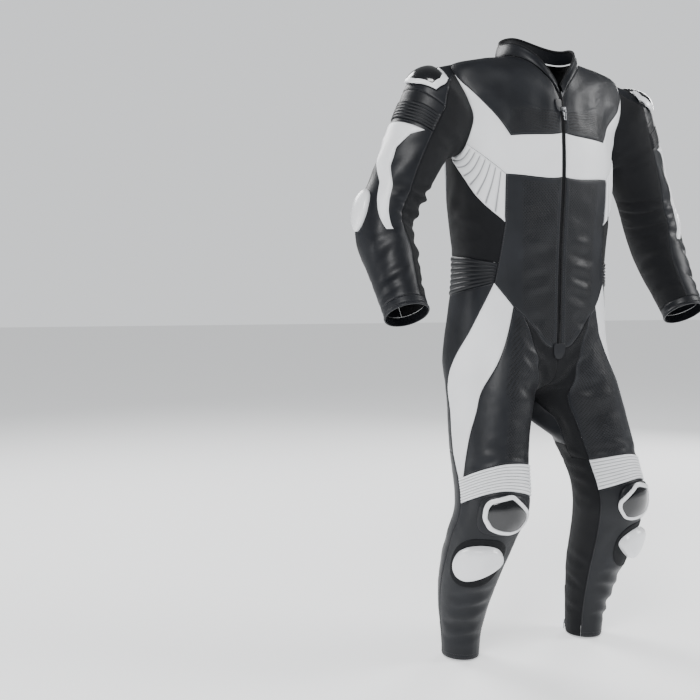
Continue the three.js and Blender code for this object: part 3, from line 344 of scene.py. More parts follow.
# rings from neck to hem: height at the front, side and back, how sharply the front dips, centre moved out
ringRows = np.array([
    (-46, 54, 88, 0.7, 0), (-63, 47, 60, 0.8, 0), (-85, 25, 28, 1.1, 0), (-110, -8, -6, 1.4, 0),
    (-140, -50, -45, 1.7, 0), (-172, -98, -90, 2, 0), (-208, -148, -140, 2, 0), (-250, -202, -195, 2, 0),
    (-300, -262, -255, 2, 0), (-355, -325, -320, 2, 0), (-410, -390, -385, 2, 0), (-465, -455, -450, 2, 0),
    (-520, -515, -515, 2, 0), (-575, -575, -578, 2, 8), (-628, -636, -636, 2, 34),
    (-674, -694, -682, 2, 76),
    (-714, -742, -714, 2, 0), (-768, -786, -768, 2, 0), (-826, -832, -826, 2, 0), (-874, -874, -874, 2, 0),
    (-918, -918, -918, 2, 0), (-962, -962, -962, 2, 0), (-1010, -1010, -1010, 2, 0),
    (-1065, -1065, -1065, 2, 0), (-1125, -1125, -1125, 2, 0), (-1190, -1190, -1190, 2, 0),
    (-1252, -1252, -1252, 2, 0), (-1308, -1308, -1308, 2, 0)], float)
# armhole on the body from the armpit over the front: share of the way round, height
armholeRows = np.array([(0.5, -170), (0.44, -150), (0.404, -95), (0.428, -32), (0.5, 28), (0.572, 8),
                        (0.615, -50), (0.585, -125)], float)


def unit(v):
    return v / np.maximum(np.linalg.norm(v, axis=-1, keepdims=True), 1e-12)


def mix(a, b, k):
    return a + (b - a) * k


def smooth(low, high, value):
    k = np.clip((value - low) / (high - low), 0, 1)
    return k * k * (3 - 2 * k)


def splineShares(k):
    return np.stack([(-k + 2 * k * k - k ** 3) / 2, (2 - 5 * k * k + 3 * k ** 3) / 2,
                     (k + 4 * k * k - 3 * k ** 3) / 2, (k ** 3 - k * k) / 2], axis=-1)


def rowAt(rows, z):
    z = np.asarray(z, float)
    i = np.clip(np.searchsorted(-rows[:, 0], -z, side="right") - 1, 0, len(rows) - 2)
    k = np.clip((rows[i, 0] - z) / (rows[i, 0] - rows[i + 1, 0]), 0, 1)
    shares = splineShares(k)
    return sum(shares[..., a, None] * rows[np.clip(i - 1 + a, 0, len(rows) - 1), 1:] for a in range(4))


# how far points lie outside the trunk, a leg, the upper sleeve, and all of them softly joined
def trunkSide(p):
    half, front, back, square = np.moveaxis(rowAt(trunkRows, p[..., 2]), -1, 0)
    dy, deep = p[..., 1] - (front + back) / 2, (back - front) / 2
    share = (np.abs(p[..., 0] / half) ** square + np.abs(dy / deep) ** square) ** (1 / square)
    cap = np.maximum(0, np.maximum(p[..., 2] - 56, -724 - p[..., 2]))
    return np.hypot(p[..., 0], dy) * (1 - 1 / np.maximum(share, 0.05)) + cap


def legSide(p, way=1):
    x, y, across, deep = np.moveaxis(rowAt(legRows, p[..., 2]), -1, 0)
    dx, dy = way * p[..., 0] - x, p[..., 1] - y
    share = np.hypot(dx / across, dy / deep)
    return np.hypot(dx, dy) * (1 - 1 / np.maximum(share, 0.05)) + np.maximum(0, p[..., 2] + 560)


def armSide(p):
    start, run = armRows[0, :3], armRows[3, :3] - armRows[0, :3]
    k = np.clip((p - start) @ run / (run @ run), 0, 1)
    return np.linalg.norm(p - start - run * k[..., None], axis=-1) - mix(armRows[0, 3], armRows[3, 3], k)


def softMin(a, b, k):
    h = np.maximum(k - np.abs(a - b), 0) / k
    return np.minimum(a, b) - h * h * k / 4


def outside(p):
    f = trunkSide(p)
    legs = softMin(f, softMin(legSide(p), legSide(p, -1), form["blend"]), form["blend"])
    f = np.where(p[..., 2] < -480, legs, f)
    return np.where(p[..., 2] > -260, softMin(f, armSide(p), form["blend"]), f)


def ray(start, way, far, field):
    low, high = np.zeros(way.shape[:-1]), np.full(way.shape[:-1], float(far))
    for _ in range(26):
        middle = (low + high) / 2
        within = field(start + way * middle[..., None]) < 0
        low, high = np.where(within, middle, low), np.where(within, high, middle)
    return (low + high) / 2


def neckAt(s):
    a = np.pi * np.asarray(s, float)
    across = np.maximum(np.sin(a), 0)
    end = np.where(a < np.pi / 2, form["neckFrontZ"], form["neckBackZ"])
    rise = across ** np.where(a < np.pi / 2, 0.7, 1.6)
    return np.stack([form["neckHalfWidth"] * across ** 0.9, -26 - 92 * np.cos(a),
                     end + (form["neckSideZ"] - end) * rise], -1)


def ringPoints(ring):
    front, sideZ, back, dip, out = ringRows[ring]
    s = np.arange(form["columns"] + 1) / form["columns"]
    if ring == 0:
        return neckAt(s)
    across = np.maximum(np.sin(np.pi * s), 0)
    end = np.where(s < 0.5, front, back)
    z = end + (sideZ - end) * across ** np.where(s < 0.5, dip, 2)
    zero = np.zeros_like(s)
    if ring >= form["crotchRing"]:
        leg = rowAt(legRows, z)
        a = np.pi * (2 * s - 1)
        way = np.stack([np.cos(a), np.sin(a), zero], -1)
        centre = np.stack([leg[:, 0], leg[:, 1], z], -1)
        reach = ray(centre, way, 200, outside)
        flat = np.where(way[:, 0] < 0, leg[:, 0] / np.maximum(-way[:, 0], 1e-9), 1e9)
        points = centre + way * np.minimum(reach, flat)[:, None]
        if ring == form["crotchRing"]:
            points[0] = points[-1] = (0, -14, form["crotchZ"])
        return points
    middle = -8
    ends = []
    for height, way in ((front, -1.0), (back, 1.0)):
        start = np.array([0, middle, height])
        ends.append(start + np.array([0, way, 0]) * ray(start, np.array([0, way, 0]), 220, outside))
    centre = np.stack([zero + out, zero + middle, z], -1)
    a0, a1 = (math.atan2(end[1] - middle, -out) for end in ends)
    a = a0 + (a1 - a0) * s
    way = np.stack([np.cos(a), np.sin(a), zero], -1)
    own = ray(centre, way, 330, trunkSide)
    flare = form["armholeFlare"] * np.clip((z + 150) / 70, 0.15, 1)
    reach = np.where(z > -300, own + flare, 330)
    points = centre + way * np.minimum(ray(centre, way, 330, outside), reach)[:, None]
    points[0], points[-1] = ends
    return points


# a net of points with spare columns and rows round it, so that any place on it can be worked out
def makeChart(rows, columns, closedFrom=0):
    margin = columns // 2
    wide = []
    for i, row in enumerate(rows):
        turn = range(-margin, columns + margin + 3)
        if i >= closedFrom:
            wide.append([row[j % columns] for j in turn])
        else:
            flip = np.array([-1.0, 1.0, 1.0])
            wide.append([row[-j] * flip if j < 0 else row[2 * columns - j] * flip if j > columns else row[j]
                         for j in turn])
    net = np.array(wide)
    net = np.concatenate([[2 * net[0] - net[1]], net, [2 * net[-1] - net[-2]]])
    return {"net": net, "columns": columns, "margin": margin, "rows": len(rows)}


def pointAt(chart, place):
    share, row = place[..., 0] * chart["columns"], place[..., 1]
    j = np.floor(share + 1e-9).astype(int)
    i = np.clip(np.floor(row).astype(int), 0, chart["rows"] - 2)
    across, down = splineShares(share - j), splineShares(row - i)
    total = 0
    for a in range(4):
        for b in range(4):
            corner = chart["net"][i + a, j - 1 + b + chart["margin"]]
            total = total + (down[..., a] * across[..., b])[..., None] * corner
    return total


def facing(chart, place):
    e, d = np.array([0.004, 0]), 0.05
    da = pointAt(chart, place + e) - pointAt(chart, place - e)
    low = np.stack([place[..., 0], np.maximum(place[..., 1] - d, 0)], -1)
    high = np.stack([place[..., 0], np.minimum(place[..., 1] + d, chart["rows"] - 1)], -1)
    return unit(np.cross(pointAt(chart, high) - pointAt(chart, low), da))


def makeBody():
    rows = [ringPoints(i) for i in range(len(ringRows))]
    lift = 3 * np.sin(np.pi * np.arange(form["columns"] + 1) / form["columns"])
    rows[1] = mix(rows[0], rows[2], 0.5)
    rows[1][:, 2] += lift
    return makeChart(rows, form["columns"], form["crotchRing"])


body = makeBody()


# place on the body from a share of the way round and a height
def at(s, z):
    s, z = np.broadcast_arrays(np.asarray(s, float), np.asarray(z, float))
    low, high = np.zeros(s.shape), np.full(s.shape, body["rows"] - 1.0)
    for _ in range(26):
        middle = (low + high) / 2
        above = pointAt(body, np.stack([s, middle], -1))[..., 2] > z
        low, high = np.where(above, middle, low), np.where(above, high, middle)
    return np.stack([s, (low + high) / 2], -1)


def armhole(u):
    n = len(armholeRows)
    k = np.mod(np.asarray(u, float), 1) * n
    i = np.floor(k).astype(int)
    shares = splineShares(k - i)
    row = sum(shares[..., a, None] * armholeRows[(i - 1 + a) % n] for a in range(4))
    return at(row[..., 0], row[..., 1])


def sleeveRing(i, u):
    centre = armRows[i, :3]
    way = unit(armRows[min(i + 1, len(armRows) - 1), :3] - armRows[max(i - 1, 0), :3])
    outer = unit(np.array([1.0, 0, 0]) - way * way[0])
    ahead = np.cross(way, outer)
    a = 2 * np.pi * u[:, None]
    return centre + armRows[i, 3] * (ahead * np.sin(a) - outer * np.cos(a))


def makeArm():
    columns = 64
    u = np.arange(columns) / columns
    start = pointAt(body, armhole(u))
    rows = [start]
    for i in (1, 2):  # under the arm the first rings run straight from the armpit to the inner sleeve
        under = mix(start, sleeveRing(2, u), i / 3)
        lift = np.sin(np.pi * u)[:, None] ** (2 if i == 1 else 1.2)
        rows.append(mix(under, sleeveRing(i - 1, u), lift))
    rows += [sleeveRing(i - 1, u) for i in range(3, len(armRows) + 1)]
    return makeChart(rows, columns)


arm = makeArm()
print("form worked out")


# seams, each shared by the pieces on both of its sides; a way is share of the way round and height,
# or "ring n" for a ring of the body
def bodyPlaces(way):
    out = []
    for s, z in way:
        out.append((s, float(z[5:])) if isinstance(z, str) else at(s, z))
    return np.array(out, float)


def seamAlong(chart, places, step=4.0):
    points = pointAt(chart, places)
    lengths = np.linalg.norm(np.diff(points, axis=0), axis=1)
    count = max(4, int(lengths.sum() / step))
    reach = np.concatenate([[0], np.cumsum(lengths)])
    want = np.linspace(0, reach[-1], count + 1)
    k = np.clip(np.searchsorted(reach, want, side="right") - 1, 0, len(lengths) - 1)
    share = (want - reach[k]) / lengths[k]
    if len(places) > 2:
        near = [np.clip(k - 1 + a, 0, len(places) - 1) for a in range(4)]
        shares = splineShares(share)
        placed = sum(shares[:, a, None] * places[near[a]] for a in range(4))
    else:
        placed = mix(places[k], places[k + 1], share[:, None])
    return {"place": placed, "n": facing(chart, placed), "p": pointAt(chart, placed)}


seams = {}
hole = {i: armhole(i / 16) for i in range(16)}
share = form["zipHalfShare"]
hem = form["hemZ"]


def holeFacing(u):
    body0 = facing(body, armhole(u))
    arm0 = facing(arm, np.stack([u, np.full(u.shape, 0.02)], -1))
    return unit(body0 + arm0)


for name, first, last in (("Diag", 2, 7), ("Top", 7, 10), ("Ribs", 10, 13), ("Stripe", 13, 14),
                          ("Side", 14, 15), ("Under", 15, 18)):
    u = np.linspace(first / 16, last / 16, 12 * (last - first) + 1)
    spot = {"p": pointAt(body, armhole(u)), "n": holeFacing(np.mod(u, 1))}
    seams["hole" + name + "Body"] = {"place": armhole(u), **spot}
    seams["hole" + name + "Sleeve"] = {"place": np.stack([u, 0 * u], -1), **spot}

bodyWays = {
    "yokeNeck": [(share, "ring 0"), (0.25, "ring 0"), (0.5, "ring 0")],
    "capNeck": [(0.5, "ring 0"), (0.62, "ring 0")],
    "backNeck": [(0.62, "ring 0"), (1, "ring 0")],
    "zipTop": [(share, "ring 0"), (share, -124)],
    "zipBand": [(share, -124), (share, -221)],
    "zipLow": [(share, -221), (share, -602)],
    "sleeveSeam": [(0.5, "ring 0"), (0.483, 24), hole[7]],
    "tip": [hole[7], (0.436, -16)],
    "diagInner": [(0.436, -16), (0.378, -58), (0.285, -135)],
    "bandTop": [(share, -124), (0.285, -135)],
    "bandBottom": [(share, -221), (0.3, -218)],
    "bandEnd": [hole[2], (0.3, -218)],
    "frontEdgeA": [(0.3, -218), (0.305, -323)],
    "frontEdgeB": [(0.305, -323), (0.335, -412)],
    "frontEdgeC": [(0.335, -412), (0.35, -455)],
    "underLow": [hole[15], (0.41, -262), (0.305, -323)],
    "lowA": [(0.35, -455), (0.275, -508)],
    "lowB": [(0.275, -508), (0.225, -530)],
    "lowC": [(0.225, -530), (0.1, -592), (share, -602)],
    "stripeLeft": [hole[14], (0.588, -224), (0.622, -290), (0.7, -390)],
    "stripeTop": [hole[13], (0.66, -105)],
    "stripeRight": [(0.66, -105), (0.652, -224), (0.69, -300), (0.78, -402)],
    "stripeEnd": [(0.7, -390), (0.78, -402)],
    "waistTop": [(0.335, -412), (0.5, -396), (0.7, -390)],
    "waistBottom": [(0.35, -455), (0.5, -474), (0.71, -492)],
    "lumbarSide": [(0.7, -390), (0.71, -492)],
    "lumbarBottom": [(0.71, -492), (0.86, -516), (1, -530)],
    "backBottom": [(0.78, -402), (1, -402)],
    "centreBack": [(1, "ring 0"), (1, -402)],
    "centreLumbar": [(1, -402), (1, -530)],
    "capBack": [(0.62, "ring 0"), (0.602, 38)],
    "ribsTop": [hole[10], (0.602, 38)],
    "ribsInner": [(0.602, 38), (0.668, 0), (0.69, -52), (0.66, -105)],
    "centreFront": [(share, -602), (0, -616), (0, "ring 16")],
    "inseam": [(0, "ring 16"), (0, -830)],
    "inseamLow": [(0, -830), (0, -858)],
    "centreSeat": [(1, -530), (1, "ring 16")],
    "thighInner": [(0.225, -530), (0.12, -643), (0.1, -712), (0.1, -803), (0.1, -858)],
    "stripeIn": [(0.275, -508), (0.31, -605), (0.384, -724), (0.44, -830), (0.47, -878)],
    "stripeOutA": [(0.35, -455), (0.43, -555), (0.54, -680), (0.53, -830)],
    "stripeOutB": [(0.53, -830), (0.505, -884)],
    "stripeEndLow": [(0.47, -878), (0.505, -884)],
    "kneeTop": [(0.1, -858), (0.286, -846), (0.47, -878)],
    "kneeInnerTop": [(0, -858), (0.1, -858)],
    "ribsInnerSide": [(0.1, -858), (0.1, -925)],
    "ribsOuterSide": [(0.505, -884), (0.5, -935)],
    "kneeLow": [(0.1, -925), (0.3, -902), (0.5, -935)],
    "kneeBackA": [(0.53, -830), (0.87, -830)],
    "kneeBackB": [(0.87, -830), (1, -830)],
    "shinInner": [(0.1, -925), (0.12, hem)],
    "shinOuter": [(0.5, -935), (0.52, -1100), (0.56, hem)],
    "calfSeam": [(0.87, -830), (0.85, hem)],
    "hemShin": [(0.12, hem), (0.56, hem)],
    "hemBack": [(0.56, hem), (0.85, hem)],
    "hemStretch": [(-0.15, hem), (0.12, hem)],
}
for name, way in bodyWays.items():
    places = np.array([w if isinstance(w, np.ndarray) else bodyPlaces([w])[0] for w in way])
    seams[name] = seamAlong(body, places)
crotchFacing = unit(np.array([-0.2, 0, -1]))
for name, end in (("centreFront", -1), ("centreSeat", -1), ("inseam", 0)):
    seams[name]["n"][end] = crotchFacing

ribTop, ribLow, cuffTop, cuffEnd = 1.55, 2.6, 10.2, arm["rows"] - 1
armWays = {
    "capFront": [(7 / 16, 0), (0.35, 0.8), (0.3, ribTop)],
    "capRear": [(10 / 16, 0), (0.645, 0.8), (0.65, ribTop)],
    "ribTop": [(0.3, ribTop), (0.65, ribTop)],
    "ribLow": [(0.28, ribLow), (0.66, ribLow)],
    "ribFront": [(0.3, ribTop), (0.28, ribLow)],
    "ribRear": [(0.65, ribTop), (0.66, ribLow)],
    "outFront": [(0.28, ribLow), (0.26, 4), (0.235, 6), (0.19, 8), (0.19, cuffTop)],
    "outRear": [(0.66, ribLow), (0.72, 4), (0.78, 6), (0.8, 8), (0.8, cuffTop)],
    "cuffOut": [(0.19, cuffTop), (0.8, cuffTop)],
    "cuffIn": [(0.8, cuffTop), (1.19, cuffTop)],
}
for name, way in armWays.items():
    seams[name] = seamAlong(arm, np.array(way, float))


# a side of a piece, its seams joined, in count steps; leading minus turns one, trailing + or ~ goes round
def edge(names, count):
    lists = []
    for raw in names:
        key = raw.strip("-+~")
        turn = 1 if raw.endswith("+") else -1 if raw.endswith("~") else 0
        made = {k: (v[::-1] if raw[0] == "-" else v) for k, v in seams[key].items()}
        made["place"] = made["place"] + np.array([turn, 0])
        lists.append(made)
    lengths = [np.linalg.norm(np.diff(v["p"], axis=0), axis=1).sum() for v in lists]
    ends = np.round(np.cumsum(lengths) / sum(lengths) * count).astype(int)
    out, start = {"place": [], "p": [], "n": []}, 0
    for k, made in enumerate(lists):
        end = count if k == len(lists) - 1 else min(max(ends[k], start + 1), count - (len(lists) - 1 - k))
        reach = np.concatenate([[0], np.cumsum(np.linalg.norm(np.diff(made["p"], axis=0), axis=1))])
        want = np.linspace(0, reach[-1], end - start + 1)[(1 if k else 0):]
        for key in out:
            columns = made[key].T
            out[key].append(np.stack([np.interp(want, reach, column) for column in columns], -1))
        start = end
    return {key: np.concatenate(v) for key, v in out.items()}


def sideLength(names):
    return sum(np.linalg.norm(np.diff(seams[n.strip("-+~")]["p"], axis=0), axis=1).sum() for n in names)


# grid of surface places between four sides: rows run down from top to bottom, columns from left to right
def patch(chart, sides, cell=5.0, rows=None, cols=None):
    rows = rows or int(max(sideLength(sides["left"]), sideLength(sides["right"])) / cell) + 1
    cols = cols or int(max(sideLength(sides["top"]), sideLength(sides["bottom"])) / cell) + 1
    rows, cols = max(rows, len(sides["left"]), len(sides["right"]), 2), max(cols, len(sides["top"]),
                                                                        len(sides["bottom"]), 2)
    top, bottom = edge(sides["top"], cols), edge(sides["bottom"], cols)
    left, right = edge(sides["left"], rows), edge(sides["right"], rows)
    u, v = np.linspace(0, 1, cols + 1)[None, :, None], np.linspace(0, 1, rows + 1)[:, None, None]
    t, b, l, r = (x["place"] for x in (top, bottom, left, right))
    place = ((1 - v) * t[None] + v * b[None] + (1 - u) * l[:, None] + u * r[:, None]
             - (1 - u) * (1 - v) * t[0] - u * (1 - v) * t[-1] - (1 - u) * v * b[0] - u * v * b[-1])
    p, n = pointAt(chart, place), facing(chart, place)
    for key, grid in (("p", p), ("n", n)):
        grid[0], grid[-1], grid[:, 0], grid[:, -1] = top[key], bottom[key], left[key], right[key]
    return {"place": place, "p": p, "n": n}


def stack(upper, lower):
    return {key: np.concatenate([upper[key], lower[key][1:]]) for key in upper}


# two more rows and columns close to each side, so that the seam can roll over
def addRim(grid, near=(1.3, 3.6)):
    out = dict(grid)
    for axis in (0, 1):
        for last in (False, True):
            for distance in reversed(near):
                rim, inner = (-1, -2) if last else (0, 1)
                a, b = (np.take(out["p"], i, axis=axis) for i in (rim, inner))
                k = np.clip(distance / np.maximum(np.linalg.norm(b - a, axis=-1), 1e-6), 0, 0.5)[:, None]
                for key in ("place", "p", "n"):
                    made = mix(np.take(out[key], rim, axis=axis), np.take(out[key], inner, axis=axis), k)
                    spot = out[key].shape[axis] - 1 if last else 1
                    out[key] = np.insert(out[key], spot, made, axis=axis)
    out["n"] = unit(out["n"])
    return out


def lengthsAlong(points, axis):
    steps = np.linalg.norm(np.diff(points, axis=axis), axis=-1)
    zero = np.zeros_like(np.take(steps, [0], axis=axis))
    return np.concatenate([zero, np.cumsum(steps, axis=axis)], axis=axis)


# distance across and down the piece, and from its nearest side
def measure(grid):
    across, down = lengthsAlong(grid["p"], 1), lengthsAlong(grid["p"], 0)
    fromSide = np.minimum(across, across[:, -1:] - across)
    fromEnd = np.minimum(down, down[-1:] - down)
    return {"across": across, "down": down, "fromSide": fromSide, "fromEnd": fromEnd,
            "rim": np.minimum(fromSide, fromEnd)}


# moves the rim in along the piece, so that it stands clear of its neighbours
def drawIn(grid, by):
    p = grid["p"].copy()
    for rim, inner in ((0, 1), (-1, -2)):
        p[rim] += unit(grid["p"][inner] - grid["p"][rim]) * by
        p[:, rim] += unit(grid["p"][:, inner] - grid["p"][:, rim]) * by
    return p


def gridFaces(rows, cols, start=0, turned=False):
    i, j = np.meshgrid(np.arange(rows - 1), np.arange(cols - 1), indexing="ij")
    a = (start + i * cols + j).ravel()
    faces = np.stack([a, a + cols, a + cols + 1, a + 1], -1)
    return faces[:, ::-1] if turned else faces


def newPiece(name, points, faces, material, uv=None, weights=None, flip=False):
    mesh = bpy.data.meshes.new(name)
    points = np.asarray(points, float) * mm
    if flip:
        points = points * np.array([-1.0, 1, 1])
        faces = [tuple(reversed(f)) for f in faces]
    mesh.from_pydata(points.tolist(), [], [tuple(int(v) for v in f) for f in faces])
    mesh.materials.append(material)
    piece = bpy.data.objects.new(name, mesh)
    bpy.context.scene.collection.objects.link(piece)
    mesh.shade_smooth()
    if uv is not None:
        layer = mesh.uv_layers.new(name="cut")
        loops = np.empty(len(mesh.loops), int)
        mesh.loops.foreach_get("vertex_index", loops)
        layer.data.foreach_set("uv", (np.asarray(uv) * mm)[loops].ravel())
    if weights is not None:
        # weight per point: perforation holes, or painted shade in the valleys of white pleats
        layer = mesh.attributes.new("holesAndValleyShade", "FLOAT", "POINT")
        layer.data.foreach_set("value", np.asarray(weights, float))
    return piece


def volumeOf(points, faces):
    a, b, c = points[faces[:, 0]], points[faces[:, 1]], points[faces[:, 2]]
    d = points[faces[:, 3]]
    return (a * np.cross(b, c)).sum() + (a * np.cross(c, d)).sum()


# a thin closed wall between two grids of points, on both sides of the suit
def shell(outer, inner, closed=False):
    rows, cols = outer.shape[:2]
    count = rows * cols
    points = np.concatenate([outer.reshape(-1, 3), inner.reshape(-1, 3)])
    faces = [gridFaces(rows, cols), gridFaces(rows, cols, count, True)]
    index = np.arange(count).reshape(rows, cols)
    loops = [index[0][::-1], index[-1]]
    if closed:
        index[:, -1] = index[:, 0]
        faces = [np.take(index.ravel(), faces[0]), np.take(index.ravel(), faces[1] - count) + count]
        loops = [index[0][::-1], index[-1]]
    else:
        loops += [index[:, 0], index[::-1, -1]]
    for line in loops:
        faces.append(np.stack([line[:-1], line[:-1] + count, line[1:] + count, line[1:]], -1))
    faces = np.concatenate(faces)
    if volumeOf(points, faces) < 0:
        faces = faces[:, ::-1]
    return points, faces


# folds of the worn suit, as soft troughs (below zero) and ridges: ends, how wide and how deep, and a bow
# a place is share of the way round and height on the body, or share and ring on the sleeve
bodyFolds = [
    # across the hip crease and up from the crotch
    ((0.06, -628), (0.24, -560), 13, -4.5), ((0.05, -655), (0.22, -610), 11, -4.0),
    ((0.12, -600), (0.30, -545), 16, 2.5),
    ((0.10, -700), (0.24, -672), 12, -3.2), ((0.02, -690), (0.12, -640), 10, -3.0),
    # front of the thigh
    ((0.14, -770), (0.30, -742), 17, -2.6), ((0.20, -800), (0.36, -812), 14, -2.2),
    ((0.16, -722), (0.27, -706), 12, 2.0),
    # above and below the knee pleats
    ((0.12, -838), (0.28, -830), 9, -2.6), ((0.30, -832), (0.44, -852), 9, -2.0),
    # front panel beside the zip and waist
    ((0.06, -300), (0.20, -322), 18, -2.0), ((0.05, -382), (0.26, -404), 15, -3.0),
    ((0.08, -430), (0.24, -452), 13, -3.4),
    ((0.05, -478), (0.22, -500), 14, -2.8), ((0.08, -356), (0.22, -366), 14, 2.0),
    ((0.10, -530), (0.20, -548), 12, -2.2),
    # chest and shoulder
    ((0.38, -44), (0.30, -112), 14, -3.0), ((0.22, -60), (0.12, -100), 20, -1.8),
    ((0.41, -70), (0.34, -150), 12, 2.2),
    ((0.10, -76), (0.20, -40), 15, -2.0),
    # side of the trunk
    ((0.36, -300), (0.52, -268), 15, -3.2), ((0.38, -352), (0.56, -330), 13, -3.0),
    ((0.42, -380), (0.60, -372), 11, -2.4),
    ((0.48, -220), (0.56, -300), 15, 2.4),
    # back panel: drapes from the hump to the waist
    ((0.93, -170), (0.80, -330), 20, -3.0), ((0.97, -230), (0.88, -385), 16, -2.6),
    ((0.84, -150), (0.74, -260), 18, 2.4),
    ((0.80, -350), (0.96, -375), 12, -2.6), ((0.78, -100), (0.70, -190), 16, -2.2),
    ((0.72, -372), (0.86, -388), 9, -2.0),
    # seat and under it
    ((0.62, -560), (0.80, -600), 20, -2.2), ((0.86, -580), (0.97, -626), 14, -3.0),
    ((0.90, -650), (0.99, -690), 13, -3.8),
    ((0.68, -676), (0.94, -712), 13, -5.0), ((0.62, -712), (0.86, -744), 13, -4.2),
    ((0.70, -754), (0.90, -780), 12, -3.4),
    ((0.64, -640), (0.80, -668), 15, 2.6), ((0.72, -732), (0.92, -752), 12, 2.4),
    # back of the thigh and behind the knee
    ((0.60, -800), (0.84, -814), 10, -3.2), ((0.62, -838), (0.88, -846), 8, -4.2),
    ((0.60, -864), (0.90, -872), 8, -4.6),
    ((0.64, -890), (0.86, -902), 8, -4.4), ((0.62, -918), (0.84, -926), 9, -4.0),
    ((0.60, -950), (0.80, -948), 10, -3.0),
    ((0.66, -852), (0.86, -858), 8, 2.4), ((0.64, -880), (0.84, -886), 8, 2.2),
    ((0.66, -906), (0.82, -912), 8, 2.0),
    ((0.94, -850), (1.08, -862), 9, -3.6), ((0.92, -884), (1.08, -890), 9, -3.8),
    ((0.93, -918), (1.06, -920), 9, -3.4),
    ((0.95, -956), (1.06, -950), 10, -2.6),
    # calf and shin
    ((0.60, -1010), (0.74, -1080), 16, -3.0), ((0.62, -1110), (0.82, -1150), 13, -3.2),
    ((0.60, -1180), (0.84, -1196), 10, -3.2),
    ((0.58, -1226), (0.80, -1240), 9, -2.8), ((0.62, -1268), (0.84, -1272), 8, -2.2),
    ((0.18, -1136), (0.44, -1158), 12, -3.4), ((0.16, -1172), (0.40, -1198), 11, -3.6),
    ((0.20, -1214), (0.50, -1222), 10, -3.2),
    ((0.16, -1252), (0.42, -1262), 9, -2.8), ((0.22, -1190), (0.46, -1204), 10, 2.2),
    ((0.30, -1238), (0.52, -1246), 9, 1.8),
    ((0.20, -1010), (0.16, -1110), 12, -2.2), ((0.46, -990), (0.50, -1110), 14, -2.6),
    ((-0.12, -1090), (0.10, -1120), 12, -2.6), ((-0.12, -1160), (0.10, -1186), 10, -2.8),
    ((-0.12, -1226), (0.10, -1240), 9, -2.6),
]
armFolds = [
    # under the shoulder and down the upper arm
    ((0.28, 1.1), (0.40, 1.5), 13, -2.4), ((0.66, 0.9), (0.74, 2.4), 14, -2.6),
    ((0.78, 1.6), (0.92, 2.3), 11, -3.2),
    ((0.08, 1.9), (0.26, 2.5), 11, -3.4), ((0.02, 2.5), (0.22, 3.1), 10, -3.2),
    ((0.80, 2.6), (0.98, 3.0), 10, -2.8),
    ((0.30, 3.0), (0.44, 4.3), 15, -2.4), ((0.52, 3.4), (0.62, 4.6), 15, -2.0),
    # inside of the elbow, fanning out towards the slider
    ((0.92, 4.2), (1.26, 4.75), 8, -4.6), ((0.90, 4.75), (1.30, 5.15), 8, -5.2),
    ((0.88, 5.2), (1.32, 5.55), 8, -5.0),
    ((0.90, 5.7), (1.28, 6.0), 8, -4.4), ((0.94, 6.2), (1.24, 6.5), 9, -3.6),
    ((0.90, 4.5), (1.22, 4.98), 8, 2.4),
    ((0.92, 5.0), (1.26, 5.38), 8, 2.4), ((0.92, 5.46), (1.24, 5.8), 8, 2.2),
    ((0.26, 4.6), (0.36, 5.2), 12, -2.6),
    ((0.66, 4.7), (0.82, 5.1), 10, -3.2), ((0.70, 5.4), (0.86, 5.5), 9, -3.0),
    ((0.66, 6.6), (0.84, 6.2), 10, -2.6),
    # forearm
    ((0.22, 6.6), (0.40, 7.4), 12, -3.0), ((0.26, 7.5), (0.44, 8.3), 11, -2.8),
    ((0.60, 7.3), (0.78, 7.9), 11, -2.8),
    ((0.94, 7.2), (1.18, 7.6), 10, -3.0), ((0.90, 8.1), (1.16, 8.5), 9, -3.0),
    ((0.24, 8.7), (0.46, 9.2), 9, -2.8),
    ((0.56, 8.6), (0.80, 9.1), 9, -2.6), ((0.92, 9.2), (1.20, 9.5), 8, -2.6),
    ((0.30, 9.5), (0.62, 9.8), 8, -2.0),
    ((0.30, 7.0), (0.46, 7.8), 11, 1.8), ((0.92, 7.7), (1.18, 8.1), 9, 1.8),
]
softness = {"drape": 1.5, "drapePer": 0.011, "hide": 0.5, "hidePer": 0.045}


def foldLines():
    lines = []
    for chart, folds, wrap in ((body, bodyFolds, True), (arm, armFolds, False)):
        for number, (start, end, wide, deep) in enumerate(folds):
            if wrap:
                first, last = at(*start), at(*end)
            else:
                first, last = np.array(start, float), np.array(end, float)
            k = np.linspace(0, 1, 13)
            places = mix(first, last, k[:, None])
            bow = math.sin(number * 2.3) * 0.10  # each bends a little its own way
            places[:, 1] += bow * np.sin(np.pi * k)
            points = pointAt(chart, places)
            lines.append({"points": points, "n": facing(chart, places), "wide": wide, "deep": deep,
                          "share": k, "lean": 0.35 * math.sin(number * 1.7)})
    return lines


folds = foldLines()


